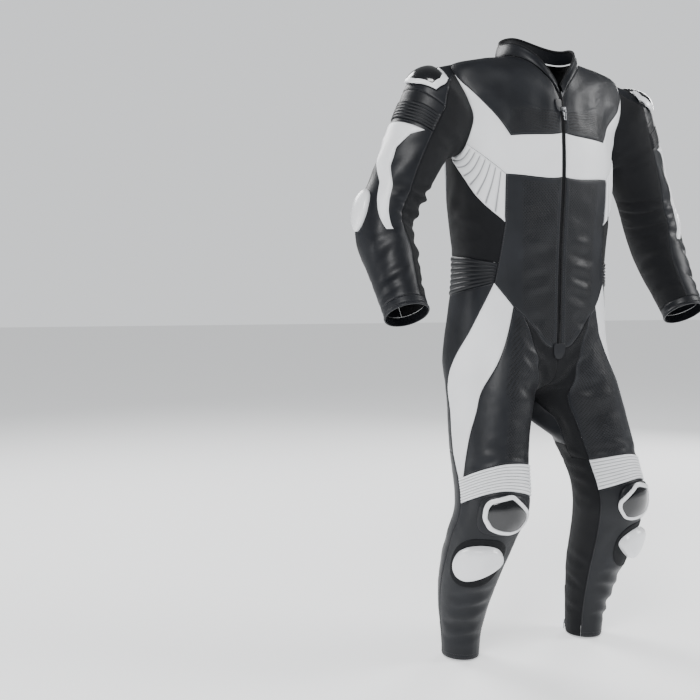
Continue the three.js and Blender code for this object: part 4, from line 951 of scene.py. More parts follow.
# how far the cloth stands in or out at points p, from every fold near them
def foldDepth(p, n):
    flatP, flatN = p.reshape(-1, 3), n.reshape(-1, 3)
    total = np.zeros(len(flatP))
    for fold in folds:
        reach = 3 * fold["wide"]
        low, high = fold["points"].min(0) - reach, fold["points"].max(0) + reach
        near = np.flatnonzero(((flatP > low) & (flatP < high)).all(1))
        if not len(near):
            continue
        q = flatP[near]
        a, b = fold["points"][:-1], fold["points"][1:]
        run = b - a
        k = np.clip(((q[:, None] - a) * run).sum(-1) / (run * run).sum(-1), 0, 1)
        gap = q[:, None] - (a + run * k[..., None])
        d = np.linalg.norm(gap, axis=-1)
        i = d.argmin(1)
        pick = np.arange(len(q))
        along = fold["share"][i] + k[pick, i] / (len(fold["points"]) - 1)
        taper = np.sin(np.pi * np.clip(along, 0, 1)) ** 0.8
        off = d[pick, i] / (fold["wide"] * (0.55 + 0.45 * taper))
        same = np.clip((flatN[near] * fold["n"][i]).sum(-1), 0, 1)
        # a sharp valley with a soft bulge beside it
        shape = np.exp(-off ** 2) - 0.34 * np.exp(-((off - 1.9) / 0.75) ** 2)
        total[near] += fold["deep"] * shape * taper * same
    return np.clip(total, -7, 5).reshape(p.shape[:-1])


# slow unevenness of worn leather
def drape(p):
    flat = p.reshape(-1, 3)
    out = np.empty(len(flat))
    for i, (x, y, z) in enumerate(flat.tolist()):
        slow = noise.noise((x * softness["drapePer"] + 7.1, y * softness["drapePer"],
                            z * softness["drapePer"] * 0.7))
        fine = noise.noise((x * softness["hidePer"], y * softness["hidePer"] + 3.3,
                            z * softness["hidePer"]))
        out[i] = softness["drape"] * slow + softness["hide"] * fine
    return out.reshape(p.shape[:-1])


pieceMade, suitSheets = {}, {}
sides = (("Left", "_l", False), ("Right", "_r", True))


def dress(name, solid, grid, look, relief=None, soft=1.0, thick=1.0, both=True,
          holesAndValleyShade=None, closed=False, roll=0.75, keepMiddle=False, single=False, hollow=False):
    grid = grid if closed else addRim(grid)
    sizes = measure(grid)
    p = drawIn(grid, form["seamInset"] + 0.1)
    worn = (foldDepth(p, grid["n"]) + drape(p)) * soft
    raised = relief(grid, sizes) if relief else 0
    rolled = roll * np.exp(-(sizes["rim"] / 2.2) ** 2) if not closed else 0
    outer = p + grid["n"] * (worn + thick + raised - rolled)[..., None]
    inner = p + grid["n"] * (worn - thick + (raised - rolled if hollow else 0))[..., None]
    if keepMiddle:
        for layer in (outer, inner):
            layer[..., 0] = np.maximum(layer[..., 0], form["seamInset"])
    uv = np.stack([sizes["across"], -sizes["down"]], -1).reshape(-1, 2)
    # weights per point: perforation holes, or painted shade in the valleys of white pleats
    weights = None
    if holesAndValleyShade is not None:
        weights = np.tile(holesAndValleyShade(grid, sizes).ravel(), 2)
    points, faces = shell(outer, inner, closed)
    width, length = sizes["across"][:, -1].max() * mm, sizes["down"][-1].max() * mm
    corner = grid["p"][:-1, :-1]
    cells = np.cross(grid["p"][1:, :-1] - corner, grid["p"][:-1, 1:] - corner)
    area = min(float(np.linalg.norm(cells, axis=-1).sum()) * mm * mm, width * length)
    for label, suffix, flip in sides if both else (("", "", False),):
        piece = newPiece(name + label, points, faces, look, np.tile(uv, (2, 1)), weights, flip)
        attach(piece, "suit")
        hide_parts(solid + ("" if single else suffix))
        pieceMade[name + label] = piece
    suitSheets[name] = {"outer": outer, "n": grid["n"], "sizes": sizes, "grid": grid, "width": width,
                        "length": length, "area": area}
    return suitSheets[name]


# rounded pleats with narrow sewn valleys, flat where they meet the seams
def pleats(count, rise, axis="down", flatEnds=5.0, sharp=0.6, ends=(0.0, 1.0)):
    def relief(grid, sizes):
        way = sizes["down"] if axis == "down" else sizes["across"]
        total = way[-1:] if axis == "down" else way[:, -1:]
        k = np.clip((way / np.maximum(total, 1e-6) - ends[0]) / (ends[1] - ends[0]), 0, 1)
        wave = np.abs(np.sin(np.pi * count * k)) ** sharp
        side = sizes["fromSide"] if axis == "down" else sizes["fromEnd"]
        return rise * wave * smooth(0, flatEnds, side)
    return relief


# how deep in a valley each point lies, for the painted shade in white pleats
def paintedValleyShade(count, axis="down", ends=(0.0, 1.0)):
    def weight(grid, sizes):
        way = sizes["down"] if axis == "down" else sizes["across"]
        total = way[-1:] if axis == "down" else way[:, -1:]
        k = np.clip((way / np.maximum(total, 1e-6) - ends[0]) / (ends[1] - ends[0]), 0, 1)
        side = sizes["fromSide"] if axis == "down" else sizes["fromEnd"]
        return smooth(0.42, 0.05, np.abs(np.sin(np.pi * count * k))) * smooth(1, 7, side)
    return weight


look = makeMaterials()


# perforation that stops short of the seams, and fades out where fade says so
def holesInside(away=9.0, fade=None):
    def weight(grid, sizes):
        k = smooth(away - 1, away + 1, sizes["rim"])
        return k * fade(grid, sizes) if fade else k
    return weight


def yokeHoles(grid, sizes):
    # the perforation thins out towards the collar and keeps to the middle of the yoke
    z, s = grid["p"][..., 2], grid["place"][..., 0]
    return smooth(-66, -84, z) * smooth(0.30, 0.26, s)


def lowerHoles(grid, sizes):
    return smooth(0.245, 0.225, grid["place"][..., 0] + 0.0 * grid["p"][..., 2])


# a sewn line across a panel: a narrow trough along a way on the body
def panelLine(points, deep=0.9, wide=1.1):
    places = bodyPlaces(points)
    line = pointAt(body, np.array([mix(places[i], places[i + 1], k) for i in range(len(places) - 1)
                                   for k in np.linspace(0, 1, 25)]))

    def trough(p):
        flat = p.reshape(-1, 3)
        out = np.zeros(len(flat))
        near = np.flatnonzero(((flat > line.min(0) - 6) & (flat < line.max(0) + 6)).all(1))
        for part in np.array_split(near, max(1, len(near) // 2000)):
            if len(part):
                d = np.linalg.norm(flat[part][:, None] - line[None], axis=-1).min(1)
                out[part] = deep * np.exp(-(d / wide) ** 2)
        return out.reshape(p.shape[:-1])
    return trough


panelLines = {
    "yoke": [[(0.33, 14), (0.27, -30), (0.255, -118)], [(0.02, -84), (0.12, -78), (0.255, -60)]],
    "frontLower": [[(0.245, -226), (0.235, -400), (0.225, -528)], [(0.03, -292), (0.13, -318)]],
    "backMain": [[(0.86, 40), (0.76, -40), (0.80, -190), (0.875, -318), (0.90, -338), (1.0, -338)]],
    "seatBack": [[(0.93, -524), (0.925, -600), (0.96, -655), (1.0, -668)],
                 [(0.71, -494), (0.70, -640), (0.72, -830)]],
    "shin": [[(0.13, -975), (0.17, -1000), (0.2, -1120), (0.22, -1300)]],
    "calfBack": [[(0.70, -832), (0.70, -1300)]],
    "thighFront": [[(0.25, -524), (0.24, -700), (0.27, -850)]],
}


def linesOn(name, more=None):
    troughs = [panelLine(way) for way in panelLines.get(name, [])]

    def relief(grid, sizes):
        total = -sum((t(grid["p"]) for t in troughs), np.zeros(grid["p"].shape[:-1]))
        return total + (more(grid, sizes) if more else 0)
    return relief


def makeBodyPieces():
    dress("yoke", "yoke", patch(body, {"top": ["yokeNeck"], "left": ["zipTop"],
                                       "right": ["sleeveSeam", "tip", "diagInner"], "bottom": ["bandTop"]}),
          look["holesAndValleyShade"], linesOn("yoke"), holesAndValleyShade=holesInside(8, yokeHoles))
    dress("chestWhite", "chest_white", patch(body, {
        "top": ["-tip"], "left": ["diagInner", "-bandTop"], "right": ["-holeDiagBody", "bandEnd",
                                                                      "-bandBottom"],
        "bottom": ["zipBand"]}), look["white"], soft=0.7)
    # white pleats, with painted shade in their valleys
    dress("underarmRibs", "underarm_ribs", patch(body, {
        "top": ["holeUnderBody"], "left": ["underLow"], "right": ["bandEnd"], "bottom": ["-frontEdgeA"]},
        rows=96, cell=4), look["whitePleated"], pleats(8, 3.4, flatEnds=4.5),
        soft=0.5,
        holesAndValleyShade=paintedValleyShade(8))
    dress("frontLower", "front_lower", patch(body, {
        "top": ["bandBottom"], "left": ["zipLow"], "right": ["frontEdgeA", "frontEdgeB", "frontEdgeC"],
        "bottom": ["-lowC", "-lowB", "-lowA"]}), look["holesAndValleyShade"], linesOn("frontLower"),
        holesAndValleyShade=holesInside(10, lowerHoles))
    dress("sideStretch", "side_stretch", patch(body, {
        "top": ["-underLow", "-holeSideBody"], "left": ["frontEdgeB"], "right": ["stripeLeft"],
        "bottom": ["waistTop"]}), look["stretch"])
    dress("waistRibs", "waist_ribs", patch(body, {
        "top": ["waistTop"], "left": ["frontEdgeC"], "right": ["lumbarSide"], "bottom": ["waistBottom"]},
        rows=66, cell=4), look["pleated"], pleats(7, 3.0), soft=0.5)
    dress("backMain", "back_main", patch(body, {
        "top": ["backNeck"], "left": ["capBack", "ribsInner", "stripeRight"], "right": ["centreBack"],
        "bottom": ["backBottom"]}), look["black"], linesOn("backMain"))
    dress("backStripe", "back_stripe", patch(body, {
        "top": ["-holeStripeBody", "stripeTop"], "left": ["stripeLeft"], "right": ["stripeRight"],
        "bottom": ["stripeEnd"]}), look["silver"], soft=0.7)
    # white pleats, with painted shade in their valleys
    dress("shoulderRibs", "shoulder_ribs", patch(body, {
        "top": ["ribsTop"], "left": ["holeRibsBody"], "right": ["ribsInner"], "bottom": ["stripeTop"]},
        cols=72, cell=4), look["whitePleated"], pleats(6, 3.2, axis="across"),
        soft=0.4,
        holesAndValleyShade=paintedValleyShade(6, axis="across"))
    dress("seatBack", "seat_back", patch(body, {
        "top": ["waistBottom", "lumbarBottom"], "left": ["stripeOutA"], "right": ["centreSeat", "inseam+"],
        "bottom": ["kneeBackA", "kneeBackB"]}), look["black"], linesOn("seatBack"), keepMiddle=True)
    dress("crotchStretch", "crotch_stretch", patch(body, {
        "top": ["-lowC"], "left": ["centreFront", "inseam", "inseamLow"], "right": ["thighInner"],
        "bottom": ["kneeInnerTop"]}), look["stretch"], keepMiddle=True)
    dress("thighStripe", "thigh_stripe", patch(body, {
        "top": ["-lowA"], "left": ["stripeIn"], "right": ["stripeOutA", "stripeOutB"],
        "bottom": ["stripeEndLow"]}),
        look["white"], soft=0.6)
    dress("thighFront", "thigh_front", patch(body, {
        "top": ["-lowB"], "left": ["thighInner"], "right": ["stripeIn"], "bottom": ["kneeTop"]}),
        look["holesAndValleyShade"],
        linesOn("thighFront"), holesAndValleyShade=holesInside(9, lambda grid, sizes: smooth(0.285, 0.265,
                                                                                 grid["place"][..., 0])))
    # white pleats, with painted shade in their valleys
    dress("kneeRibs", "knee_ribs", patch(body, {
        "top": ["kneeTop", "stripeEndLow"], "left": ["ribsInnerSide"], "right": ["ribsOuterSide"],
        "bottom": ["kneeLow"]}, rows=108, cell=4), look["whitePleated"], pleats(9, 3.4),
        soft=0.3,
        holesAndValleyShade=paintedValleyShade(9))
    dress("shin", "shin", patch(body, {"top": ["kneeLow"], "left": ["shinInner"], "right": ["shinOuter"],
                                       "bottom": ["hemShin"]}), look["black"], linesOn("shin"))
    dress("calfStretch", "calf_stretch", patch(body, {
        "top": ["kneeBackB~", "inseamLow", "kneeInnerTop"], "left": ["calfSeam~"],
        "right": ["ribsInnerSide", "shinInner"], "bottom": ["hemStretch"]}), look["stretch"])
    dress("calfBack", "calf_back", patch(body, {
        "top": ["kneeBackA"], "left": ["stripeOutB", "ribsOuterSide", "shinOuter"], "right": ["calfSeam"],
        "bottom": ["hemBack"]}), look["black"], linesOn("calfBack"))


def makeSleevePieces():
    dress("sleeveRibs", "sleeve_ribs", patch(arm, {
        "top": ["ribTop"], "left": ["ribFront"], "right": ["ribRear"], "bottom": ["ribLow"]}, rows=56,
        cell=4),
        look["pleated"], pleats(6, 2.4, ends=(0.36, 1.0)), soft=0.4)
    dress("sleeveOuter", "sleeve_outer", patch(arm, {
        "top": ["ribLow"], "left": ["outFront"], "right": ["outRear"], "bottom": ["cuffOut"]}),
        look["black"])
    dress("sleeveInner", "sleeve_inner", patch(arm, {
        "top": ["holeRibsSleeve", "holeStripeSleeve", "holeSideSleeve", "holeUnderSleeve",
                "holeDiagSleeve+"],
        "left": ["capRear", "ribRear", "outRear"], "right": ["capFront+", "ribFront+", "outFront+"],
        "bottom": ["cuffIn"]}), look["stretch"])
    upper = patch(body, {"top": ["capNeck"], "left": ["sleeveSeam"], "right": ["capBack", "-ribsTop"],
                         "bottom": ["holeTopBody"]}, rows=24, cols=44)
    lower = patch(arm, {"top": ["holeTopSleeve"], "left": ["capFront"], "right": ["capRear"],
                        "bottom": ["ribTop"]}, rows=22, cols=44)
    dress("sleeveCap", "sleeve_cap", stack(upper, lower), look["black"])


def ringOf(chart, first, last, rows, around):
    u = np.linspace(first[0], first[0] + 1, around + 1)
    v = np.linspace(first[1], last, rows)
    place = np.stack(np.broadcast_arrays(u[None], v[:, None]), -1)
    return {"place": place, "p": pointAt(chart, place), "n": facing(chart, place)}


cuff = {"hemRoll": 1.6, "rows": 14, "around": 96}


def makeCuffs():
    grid = ringOf(arm, (0.19, cuffTop + 0.012), cuffEnd, cuff["rows"], cuff["around"])

    def hemmed(grid, sizes):
        fromEnd = sizes["down"][-1:] - sizes["down"]
        return cuff["hemRoll"] * np.exp(-((fromEnd - 3) / 3.2) ** 2) - 0.5 * np.exp(-((fromEnd - 9) / 1.4) ** 2)
    dress("cuff", "cuff", grid, look["black"], hemmed, soft=0.4, closed=True)


# a grid from one side to the centre, carried on over the centre to the other side
def wholeGrid(half):
    flip = np.array([-1.0, 1.0, 1.0])
    out = {}
    for key, grid in half.items():
        other = grid[:, -2::-1]
        out[key] = np.concatenate([grid, other * flip if key in ("p", "n") else other], axis=1)
    return out


lumbar = {"ribsAbove": 4, "ribsBelow": 6, "bandFrom": 0.27, "bandTo": 0.56, "rise": 2.8}


def makeLumbar():
    half = addRim(patch(body, {"top": ["stripeEnd", "backBottom"], "left": ["lumbarSide"],
                               "right": ["centreLumbar"], "bottom": ["lumbarBottom"]}, rows=100, cell=4))

    def ribs(grid, sizes):
        k = sizes["down"] / np.maximum(sizes["down"][-1:], 1e-6)
        above = np.abs(np.sin(np.pi * lumbar["ribsAbove"] * k / lumbar["bandFrom"])) ** 0.75
        below = np.abs(np.sin(np.pi * lumbar["ribsBelow"] * (1 - k) / (1 - lumbar["bandTo"]))) ** 0.75
        wave = np.where(k < lumbar["bandFrom"], above, np.where(k > lumbar["bandTo"], below, 0))
        pad = 1.2 * smooth(lumbar["bandFrom"], lumbar["bandFrom"] + 0.03, k) * smooth(
            lumbar["bandTo"], lumbar["bandTo"] - 0.03, k)
        return lumbar["rise"] * wave * smooth(0, 6, sizes["fromSide"]) + pad
    dress("lumbarRibs", "lumbar_ribs", wholeGrid(half), look["pleated"], ribs, soft=0.4, both=False)


collar = {"rise": 16, "backRise": 17, "lean": 0.08, "thick": 1.6, "binding": 2.8, "around": 60}


def collarRise(s):
    return collar["rise"] + collar["backRise"] * np.sin(np.pi * s / 2)


def onCollar(s, k):
    base = neckAt(s)
    lean = 1 - collar["lean"] * k
    p = np.stack([base[..., 0] * lean, -26 + (base[..., 1] + 26) * lean,
                  base[..., 2] + 1.9 + collarRise(s) * k], -1)
    ahead, behind = neckAt(np.minimum(s + 0.01, 1)), neckAt(np.maximum(s - 0.01, 0.002))
    run = np.where((s > 0.99)[..., None], np.array([-1.0, 0, 0]), ahead - behind)
    return p, unit(np.stack([run[..., 1], -run[..., 0], 0 * s], -1))


def makeCollar():
    s = np.linspace(form["zipHalfShare"], 1, collar["around"] + 1)
    k = np.array([0, 0.03, 0.08, 0.2, 0.35, 0.5, 0.65, 0.8, 0.88, 0.94, 0.98, 1.0])
    sGrid, kGrid = np.meshgrid(s, k)
    p, n = onCollar(sGrid, kGrid)
    half = {"place": np.stack([sGrid, kGrid], -1), "p": p, "n": n}
    grid = wholeGrid(half)

    def padding(grid, sizes):
        k = grid["place"][..., 1]
        seamed = -0.8 * np.exp(-((k - 0.84) / 0.03) ** 2)
        return 1.5 * np.sin(np.pi * np.clip(k / 0.84, 0, 1)) ** 0.7 + 0.9 * np.sin(
            np.pi * np.clip((k - 0.84) / 0.16, 0, 1)) + seamed
    made = dress("collar", "collar", grid, look["black"], padding, soft=0.0, both=False,
                 thick=collar["thick"],
                 roll=0.5)
    # soft binding round the top edge
    top = made["outer"][-1] - made["n"][-1] * collar["thick"]
    tube("collarBinding", top + np.array([0, 0, 0.6]), made["n"][-1], collar["binding"], look["stretch"],
         flat=0.85)


# a rounded strand along a line, closed at both ends; flat squashes it along side
def tube(name, line, side, radius, material, flat=1.0, turns=12, both=False):
    run = unit(np.gradient(line, axis=0))
    side = unit(side - run * (side * run).sum(-1, keepdims=True))
    other = np.cross(run, side)
    a = np.linspace(0, 2 * np.pi, turns, endpoint=False)
    radii = np.broadcast_to(np.asarray(radius, float), (len(line),))
    ring = side[:, None] * np.cos(a)[None, :, None] * flat + other[:, None] * np.sin(a)[None, :, None]
    points = (line[:, None] + ring * radii[:, None, None]).reshape(-1, 3)
    count = len(line)
    faces = []
    for i in range(count - 1):
        for j in range(turns):
            m = (j + 1) % turns
            faces.append((i * turns + j, i * turns + m, (i + 1) * turns + m, (i + 1) * turns + j))
    points = np.concatenate([points, line[[0, -1]]])
    for j in range(turns):
        m = (j + 1) % turns
        faces.append((m, j, count * turns))
        last = (count - 1) * turns
        faces.append((last + j, last + m, count * turns + 1))
    made = []
    for label, flip in ((("Left", False), ("Right", True)) if both else (("", False),)):
        piece = newPiece(name + label, points, faces, material, tubeCut(line, turns), flip=flip)
        fixNormals(piece)
        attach(piece, "suit")
        made.append(piece)
    return made


def tubeCut(line, turns):
    reach = np.concatenate([[0], np.cumsum(np.linalg.norm(np.diff(line, axis=0), axis=1))])
    grid = np.stack(np.meshgrid(reach, np.arange(turns) * 1.5, indexing="ij"), -1).reshape(-1, 2)
    return np.concatenate([grid, [[0, 0], [reach[-1], 0]]])


def fixNormals(piece):
    made = bmesh.new()
    made.from_mesh(piece.data)
    bmesh.ops.recalc_face_normals(made, faces=made.faces)
    made.to_mesh(piece.data)
    made.free()


zipSizes = {"tape": 4.6, "chain": 2.4, "pitch": 3.0, "tooth": (3.4, 1.7, 1.5), "steps": 150}


# the middle of the zip from the collar down, with the way out of the suit at each point
def zipLine():
    k = np.linspace(0.94, 0.06, 12)
    upper, _ = onCollar(np.zeros(12), k)
    upperN = np.tile([0.0, -1.0, 0.0], (12, 1))
    z = np.linspace(form["neckFrontZ"] - 12, -600, 120)
    places = at(np.zeros(120), z)
    lower, lowerN = pointAt(body, places), facing(body, places)
    p, n = np.concatenate([upper, lower]), np.concatenate([upperN, lowerN])
    n[:, 0] = 0
    reach = np.concatenate([[0], np.cumsum(np.linalg.norm(np.diff(p, axis=0), axis=1))])
    want = np.linspace(0, reach[-1], zipSizes["steps"])
    line = np.stack([np.interp(want, reach, p[:, c]) for c in range(3)], -1)
    out = unit(np.stack([np.interp(want, reach, n[:, c]) for c in range(3)], -1))
    worn = (foldDepth(line, out) + drape(line)) * smooth(-70, -110, line[:, 2])
    return line + out * worn[:, None], out, want


def makeZip():
    line, out, reach = zipLine()
    x = np.linspace(-zipSizes["tape"], zipSizes["tape"], 13)
    p = np.repeat(line[:, None], 13, 1)
    p[..., 0] = x[None] * (1 - 0.12 * smooth(-40, -20, line[:, 2]))[:, None]
    n = np.repeat(out[:, None], 13, 1)
    bead = 0.9 * np.exp(-((np.abs(x) - zipSizes["chain"]) / 0.7) ** 2)[None]
    outer = p + n * (0.9 + bead)[..., None]
    uv = np.stack([np.broadcast_to(x[None], p.shape[:2]), np.broadcast_to(-reach[:, None], p.shape[:2])],
                  -1)
    uv = uv.reshape(-1, 2)
    points, faces = shell(outer, p - n * 0.8)
    tape = newPiece("zipTape", points, faces, look["tape"], np.tile(uv, (2, 1)))
    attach(tape, "suit")
    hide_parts("front_zip")
    # teeth of the two halves meet in turn along the middle
    count = int(reach[-1] / zipSizes["pitch"] * 2)
    tooth = zipSizes["tooth"]
    points, faces = [], []
    for i in range(count):
        d = (i + 0.5) * reach[-1] / count
        c = np.array([np.interp(d, reach, line[:, a]) for a in range(3)])
        o = unit(np.array([np.interp(d, reach, out[:, a]) for a in range(3)]))
        down = unit(np.cross([1.0, 0, 0], o))
        side = 1 if i % 2 else -1
        start = len(points)
        for a in (-1, 1):
            for b in (-1, 1):
                for e in (0, 1):
                    x = side * (0.45 + a * tooth[0] / 2 * 0.8)
                    shrink = 0.75 if e else 1.0
                    points.append(c + np.array([x * shrink, 0, 0]) + down * b * tooth[1] / 2 * shrink * 0.8
                                  + o * (0.9 + e * tooth[2]))
        for f in ((0, 1, 3, 2), (4, 6, 7, 5), (0, 4, 5, 1), (2, 3, 7, 6), (1, 5, 7, 3), (0, 2, 6, 4)):
            faces.append([start + v for v in f])
    teeth = newPiece("zipTeeth", points, faces, look["glossBlack"])
    fixNormals(teeth)
    teeth.data.shade_flat()
    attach(teeth, "suit")


# the slider's own across, back and up, set on the chain where it is closed
def zipPlace():
    heights = np.array([form["neckFrontZ"] - 12, form["neckFrontZ"] - 12 - (600 + form["neckFrontZ"] - 12) / 15])
    places = at(np.zeros(2), heights)
    top, low = pointAt(body, places) + facing(body, places) * 2.6
    lean = math.atan2(top[1] - low[1], top[2] - low[2])
    front = (low[1] + (slider["lugZ"] - low[2]) * math.tan(lean) - slider["gap"] * math.cos(lean),
             slider["lugZ"] + slider["gap"] * math.sin(lean))

    def onZip(v):
        x, y, z = v
        return (x, front[0] + y * math.cos(lean) + z * math.sin(lean),
                front[1] - y * math.sin(lean) + z * math.cos(lean))
    return onZip


def deselect():
    if bpy.context.object and bpy.context.object.mode != "OBJECT":
        bpy.ops.object.mode_set(mode="OBJECT")
    bpy.ops.object.select_all(action="DESELECT")


def only(piece):
    deselect()
    piece.select_set(True)
    bpy.context.view_layer.objects.active = piece


# puts a piece's place, turn and size into its mesh
def settle(piece):
    only(piece)
    bpy.ops.object.transform_apply(location=True, rotation=True, scale=True)


def applyAll(piece):
    only(piece)
    for modifier in list(piece.modifiers):
        bpy.ops.object.modifier_apply(modifier=modifier.name)


# in edit mode, selects the faces that test says yes to
def selectFaces(piece, test):
    bpy.ops.mesh.select_mode(type="FACE")
    bpy.ops.mesh.select_all(action="DESELECT")
    made = bmesh.from_edit_mesh(piece.data)
    for face in made.faces:
        face.select_set(test(face))
    bmesh.update_edit_mesh(piece.data)


# moves every point by place, from its own millimetres to the suit's metres
def remap(piece, place):
    for v in piece.data.vertices:
        v.co = Vector(place(tuple(v.co))) * mm
    piece.data.update()
    fixNormals(piece)


def finishHard(piece, name, node, material, ride="suit"):
    piece.name = piece.data.name = name
    piece.data.materials.clear()
    piece.data.materials.append(material)
    if node:
        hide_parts(node)
    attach(piece, ride)
    return piece


slider = {"long": 18, "wide": 12.5, "deep": 3.0, "lugZ": -76, "gap": 0.35}
pull = {"wide": 8.8, "long": 23.8, "deep": 1.8}


def makeZipSlider():
    onZip = zipPlace()
    bpy.ops.mesh.primitive_cube_add(size=1)
    piece = bpy.context.object
    piece.scale = (slider["wide"], slider["deep"], slider["long"])
    settle(piece)
    bpy.ops.object.mode_set(mode="EDIT")
    selectFaces(piece, lambda f: f.normal.z < -0.9)
    bpy.ops.transform.resize(value=(0.62, 1, 1))
    selectFaces(piece, lambda f: f.normal.y < -0.9)
    bpy.ops.mesh.inset(thickness=1.6, depth=0)
    bpy.ops.mesh.extrude_region_move(TRANSFORM_OT_translate={"value": (0, -0.4, 0)})
    bpy.ops.object.mode_set(mode="OBJECT")
    bevel = piece.modifiers.new("edges", "BEVEL")
    bevel.width, bevel.segments = 0.55, 3
    applyAll(piece)
    # the lug that the tab swings on
    bpy.ops.mesh.primitive_cube_add(size=1, location=(0, -4.1, 0))
    lug = bpy.context.object
    lug.scale = (3.4, 4.8, 4.4)
    settle(lug)
    bevel = lug.modifiers.new("edges", "BEVEL")
    bevel.width, bevel.segments = 0.8, 3
    applyAll(lug)
    only(piece)
    lug.select_set(True)
    bpy.ops.object.join()
    piece.data.transform(Matrix.Translation((0, -1.7, 0)))
    remap(piece, onZip)
    piece.data.shade_smooth()
    finishHard(piece, "zipSlider", "zip_slider", look["metal"])


def makeZipPull():
    onZip = zipPlace()
    bpy.ops.mesh.primitive_cube_add(size=1, location=(0, -4.5, -10.1))
    piece = bpy.context.object
    piece.scale = (pull["wide"], pull["deep"], pull["long"])
    settle(piece)
    bpy.ops.object.mode_set(mode="EDIT")
    selectFaces(piece, lambda f: f.normal.z < -0.9)
    bpy.ops.transform.resize(value=(0.78, 1, 1))
    selectFaces(piece, lambda f: abs(f.normal.y) > 0.9)
    bpy.ops.mesh.inset(thickness=1.5, depth=-0.35, use_individual=True)
    bpy.ops.object.mode_set(mode="OBJECT")
    cutters = []
    for where, size in (((0, -4.5, -0.4), (4.6, 6, 6.4)), ((0, -4.5, -15.5), (3.0, 6, 7.0))):
        bpy.ops.mesh.primitive_cube_add(size=1, location=where)
        cutter = bpy.context.object
        cutter.scale = size
        settle(cutter)
        cutters.append(cutter)
        cut = piece.modifiers.new("hole", "BOOLEAN")
        cut.operation, cut.object, cut.solver = "DIFFERENCE", cutter, "EXACT"
    bevel = piece.modifiers.new("edges", "BEVEL")
    bevel.width, bevel.segments = 0.32, 2
    applyAll(piece)
    for cutter in cutters:
        bpy.data.objects.remove(cutter)
    remap(piece, onZip)
    piece.data.shade_smooth()
    finishHard(piece, "zipPull", "zip_pull", look["metal"], ride="pull")


# outline through corners, each rounded by its radius, shared out evenly
def roundedOutline(corners, radius, count=72):
    corners = np.array(corners, float)
    line = []
    for i, corner in enumerate(corners):
        ends = []
        for other in (corners[i - 1], corners[(i + 1) % len(corners)]):
            away = np.linalg.norm(other - corner)
            ends.append(corner + (other - corner) / away * min(radius, away * 0.48))
        k = np.linspace(0, 1, 9)[:, None]
        line.append((1 - k) ** 2 * ends[0] + 2 * k * (1 - k) * corner + k * k * ends[1])
    line = np.concatenate(line + [line[0][:1]])
    reach = np.concatenate([[0], np.cumsum(np.linalg.norm(np.diff(line, axis=0), axis=1))])
    want = np.linspace(0, reach[-1], count, endpoint=False)
    return np.stack([np.interp(want, reach, line[:, c]) for c in (0, 1)], -1)


def ovalOutline(wide, high, square=2.6, count=72):
    a = np.linspace(0, 2 * np.pi, count, endpoint=False)
    c, s = np.cos(a), np.sin(a)
    return np.stack([wide * np.sign(c) * np.abs(c) ** (2 / square),
                     high * np.sign(s) * np.abs(s) ** (2 / square)], -1)


# a filled circle laid on the outline, then taken up in steps of (operation, amount, rise)
def flatShape(outline, base, steps):
    x, y = outline[:, 0], outline[:, 1]
    if (x * np.roll(y, -1) - y * np.roll(x, -1)).sum() < 0:
        outline = outline[::-1]
    deselect()
    bpy.ops.mesh.primitive_circle_add(vertices=len(outline), radius=1, fill_type="NGON")
    piece = bpy.context.object
    for v, (x, y) in zip(piece.data.vertices, outline):
        v.co = (x, y, base)
    bpy.ops.object.mode_set(mode="EDIT")
    bpy.ops.mesh.select_mode(type="FACE")
    bpy.ops.mesh.select_all(action="SELECT")
    takeUp(steps)
    return piece


def takeUp(steps):
    for kind, amount, rise in steps:
        if kind == "up":
            bpy.ops.mesh.extrude_region_move(TRANSFORM_OT_translate={"value": (0, 0, rise)})
            bpy.ops.transform.resize(value=(amount, amount, 1))
        elif kind == "inset":
            bpy.ops.mesh.inset(thickness=amount, depth=0)
            bpy.ops.transform.translate(value=(0, 0, rise))
        elif kind == "move":
            bpy.ops.transform.translate(value=(amount[0], amount[1], rise))


def selectUnderside(piece):
    low = min(v.co.z for v in bmesh.from_edit_mesh(piece.data).verts)
    selectFaces(piece, lambda f: len(f.verts) > 8 and f.calc_center_median().z < low + 0.01)


# gives the underside rings, so that it can follow the suit
def ringBelow(piece, rings, step):
    selectUnderside(piece)
    for _ in range(rings):
        bpy.ops.mesh.extrude_region_move(TRANSFORM_OT_translate={"value": (0, 0, 0)})
        bpy.ops.transform.resize(value=(step, step, 1))


# lays a flat-modelled piece on the suit; x is outwards round the suit, y up, z off it
def wrapOn(piece, chart, centre, half, lift, size):
    points = np.array([tuple(v.co) for v in piece.data.vertices])
    layer = piece.data.uv_layers.get("cut") or piece.data.uv_layers.new(name="cut")
    loops = np.empty(len(piece.data.loops), int)
    piece.data.loops.foreach_get("vertex_index", loops)
    layer.data.foreach_set("uv", (points[:, :2] * mm)[loops].ravel())
    around = centre[0] + points[:, 0] / size[0] * half[0]
    down = centre[1] - points[:, 1] / size[1] * half[1]
    places = np.stack([around, down], -1)
    laid = pointAt(chart, places) + facing(chart, places) * (lift + points[:, 2])[:, None]
    piece.data.vertices.foreach_set("co", (laid * mm).ravel())
    piece.data.update()


# real half sizes of a pad, from its half sizes on the chart
def padSize(chart, centre, half):
    spots = np.array([(centre[0] - half[0], centre[1]), (centre[0] + half[0], centre[1]),
                      (centre[0], centre[1] - half[1]), (centre[0], centre[1] + half[1])])
    p = pointAt(chart, spots)
    mid = pointAt(chart, np.array([centre]))[0]
    return ((np.linalg.norm(p[0] - mid) + np.linalg.norm(p[1] - mid)) / 2 * 1.03,
            (np.linalg.norm(p[2] - mid) + np.linalg.norm(p[3] - mid)) / 2 * 1.01)


